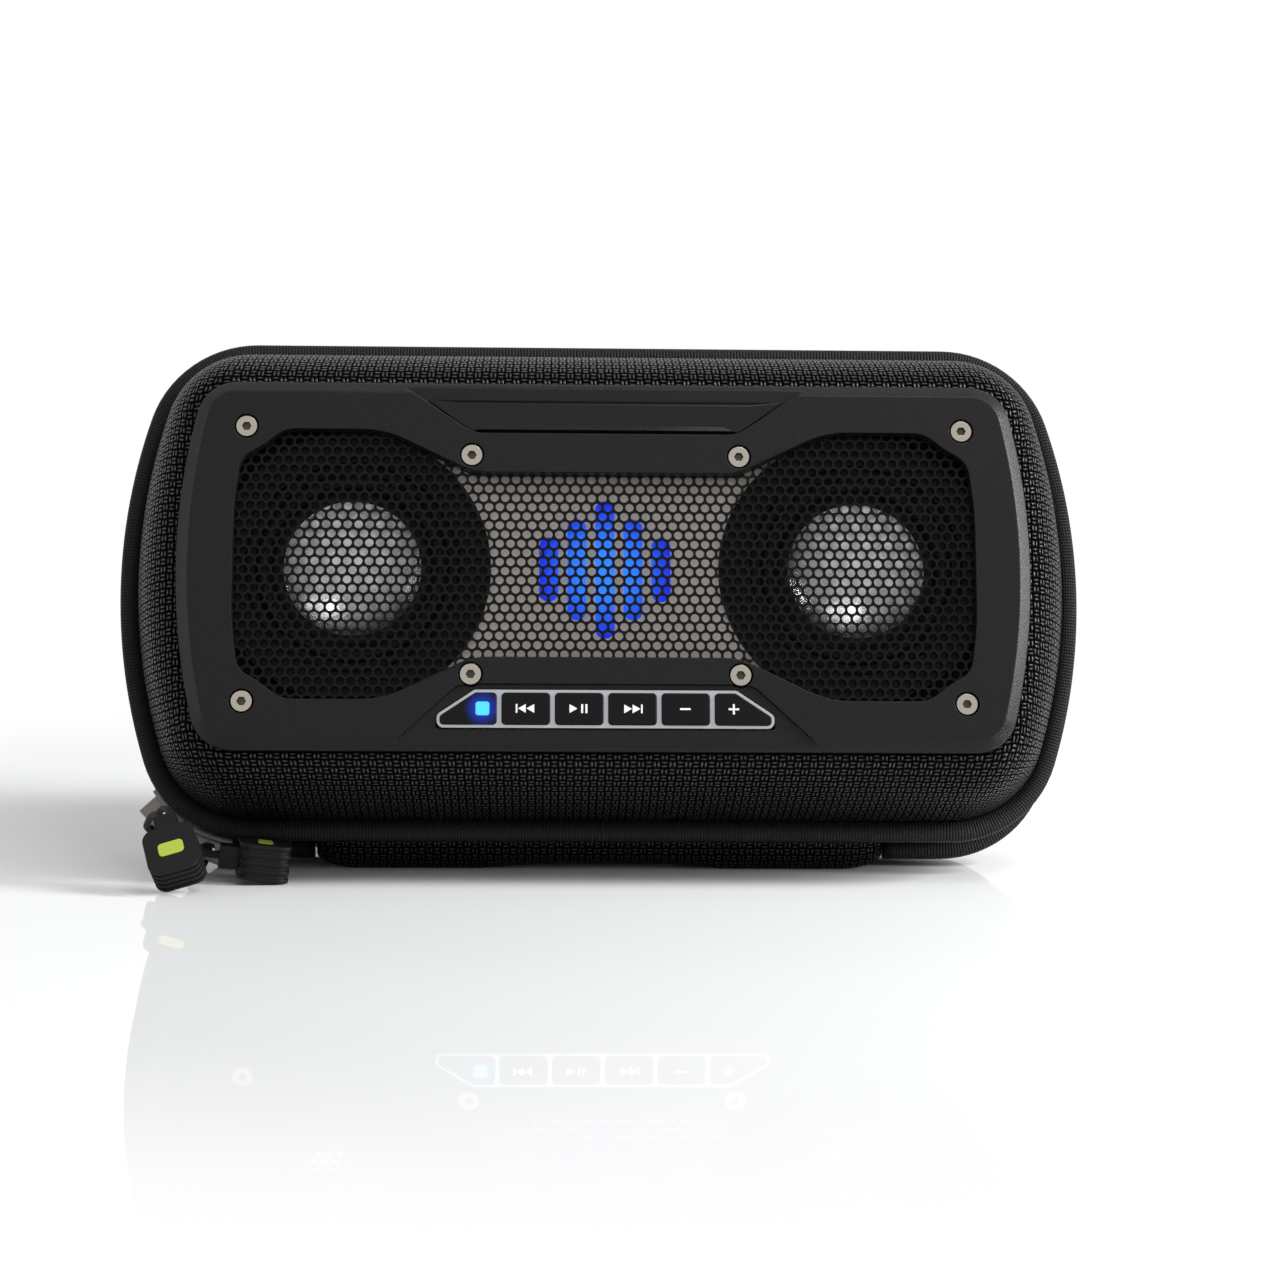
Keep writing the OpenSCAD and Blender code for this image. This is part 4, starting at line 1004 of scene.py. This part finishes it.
# The lamp shines a little into the black key round its lens
lamp_low, lamp_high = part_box("power_light")
lit_key = new_material("satin_key_plastic_lamp_lit", "#0c0c0e", 0.32,
                       {"Specular IOR Level": 0.12, "Emission Color": linear("#123fd0")})
lit_place = add(lit_key, "TexCoord").outputs["Object"]
from_lamp = add(lit_key, "Mapping", None, {"Vector": lit_place, "Location": tuple(-(lamp_low + lamp_high) / 2)})
lamp_away = add(lit_key, "VectorMath", {"operation": "LENGTH"}, {0: from_lamp})
halo = add(lit_key, "MapRange", {"interpolation_type": "SMOOTHSTEP"},
           {"Value": lamp_away.outputs["Value"], "From Min": 0.001, "From Max": 0.0042, "To Min": 0.9, "To Max": 0.0})
link(lit_key, halo, "Emission Strength")
dress(bpy.data.objects["key_power_piece"], lit_key)

# Middle of the window: a champagne lacquered aluminium plate, held on the baffle behind the grille. Five
# bars of clear acrylic in it are lit royal blue from the board behind.
champagne = new_material("champagne_lacquered_plate", "#f0e8df", 0.42, {"Metallic": 0.35, "Specular IOR Level": 0.3})
plate_place = add(champagne, "TexCoord").outputs["Object"]
grain_lines = add(champagne, "Mapping", None, {"Vector": plate_place, "Scale": (300.0, 5000.0, 5000.0)})
satin = add(champagne, "TexNoise", None, {"Vector": grain_lines, "Scale": 1.0, "Detail": 2.0})
link(champagne, add(champagne, "Bump", None, {"Height": satin.outputs["Fac"], "Distance": 0.01 * MM}), "Normal")
brushed = add(champagne, "MixRGB", None, {0: satin.outputs["Fac"], 1: linear("#e6ddd4"), 2: linear("#f7efe6")})
link(champagne, brushed, "Base Color")
dress(softened("centre_plate", 0.12), champagne)
royal = new_material("royal_blue_lit_acrylic", "#1a32d8", 0.25, {"Specular IOR Level": 0.3, "Emission Strength": 1.0})
royal_place = add(royal, "TexCoord").outputs["Object"]
window_low, window_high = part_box("light_window")
centre = add(royal, "Mapping", None, {"Vector": royal_place, "Location": tuple(-(window_low + window_high) / 2)})
away = add(royal, "VectorMath", {"operation": "LENGTH"}, {0: centre})
hot = add(royal, "MapRange", {"interpolation_type": "SMOOTHSTEP"},
          {"Value": away.outputs["Value"], "From Min": 0.003, "From Max": 0.014})
link(royal, add(royal, "MixRGB", None, {0: hot, 1: linear("#2f86ff"), 2: linear("#1526c8")}), "Emission Color")
dress(softened("light_window", 0.1), royal)

# Drivers: spun and polished aluminium dishes on rubber surrounds, under black moulded trim discs. The
# baskets, spiders, coils and magnets behind them are as they come from the maker.


def coat(node, material):
    """Gives a piece that keeps its made shape its finish."""
    for place in frame["nodes"][node].material_slots:
        place.material = material


spun = grained("polished_spun_aluminium", "#d3d1d0", 0.22, 60.0, 0.003, {"Metallic": 1.0})
moulded = grained("moulded_black_abs", "#0b0b0c", 0.5, 2500.0, 0.03, {"Specular IOR Level": 0.1})
butyl = grained("butyl_rubber", "#0e0e0f", 0.55, 1500.0, 0.02, {"Specular IOR Level": 0.15})
foam = grained("closed_cell_foam", "#1c1c1d", 0.95, 3500.0, 0.1)
wound = grained("enamelled_copper_winding", "#a5622c", 0.35, 3000.0, 0.03, {"Metallic": 0.8}, "#7e4519")
treated = grained("resin_treated_cloth", "#a07a38", 0.8, 2500.0, 0.08, None, "#7c5c26")
zinc = grained("zinc_plated_steel", "#83868b", 0.36, 1200.0, 0.02, {"Metallic": 0.9}, "#9b9da1")
board = grained("green_solder_mask", "#17452b", 0.35, 900.0, 0.02, None, "#1f5a39")
pouch = grained("battery_foil_pouch", "#5a6874", 0.4, 250.0, 0.05, {"Metallic": 0.3})
nickel = grained("nickel_plated_shell", "#a9aaac", 0.28, 1800.0, 0.01, {"Metallic": 1.0})
for side in ("_l", "_r"):
    dress(softened("driver_trim" + side, 0.3), moulded)
    dress(softened("cone" + side, 0.05, 1), spun)
    dress(softened("surround" + side, 0.05, 1), butyl)
    for node, material in (("driver_basket", zinc), ("voice_coil", wound), ("spider", treated), ("magnet", zinc)):
        coat(node + side, material)

# Module: a moulded baffle with a foam gasket against the shell, and a back box screwed to it, which holds
# the boards, the battery and the sockets.
for node, material in (("baffle", moulded), ("front_gasket", foam), ("key_board", board), ("light_board", board),
                       ("main_board", board), ("key_switches", nickel), ("battery", pouch),
                       ("usb_socket", nickel), ("jack_socket", moulded)):
    coat(node, material)
dress(softened("back_box", 0.4), abs_black)
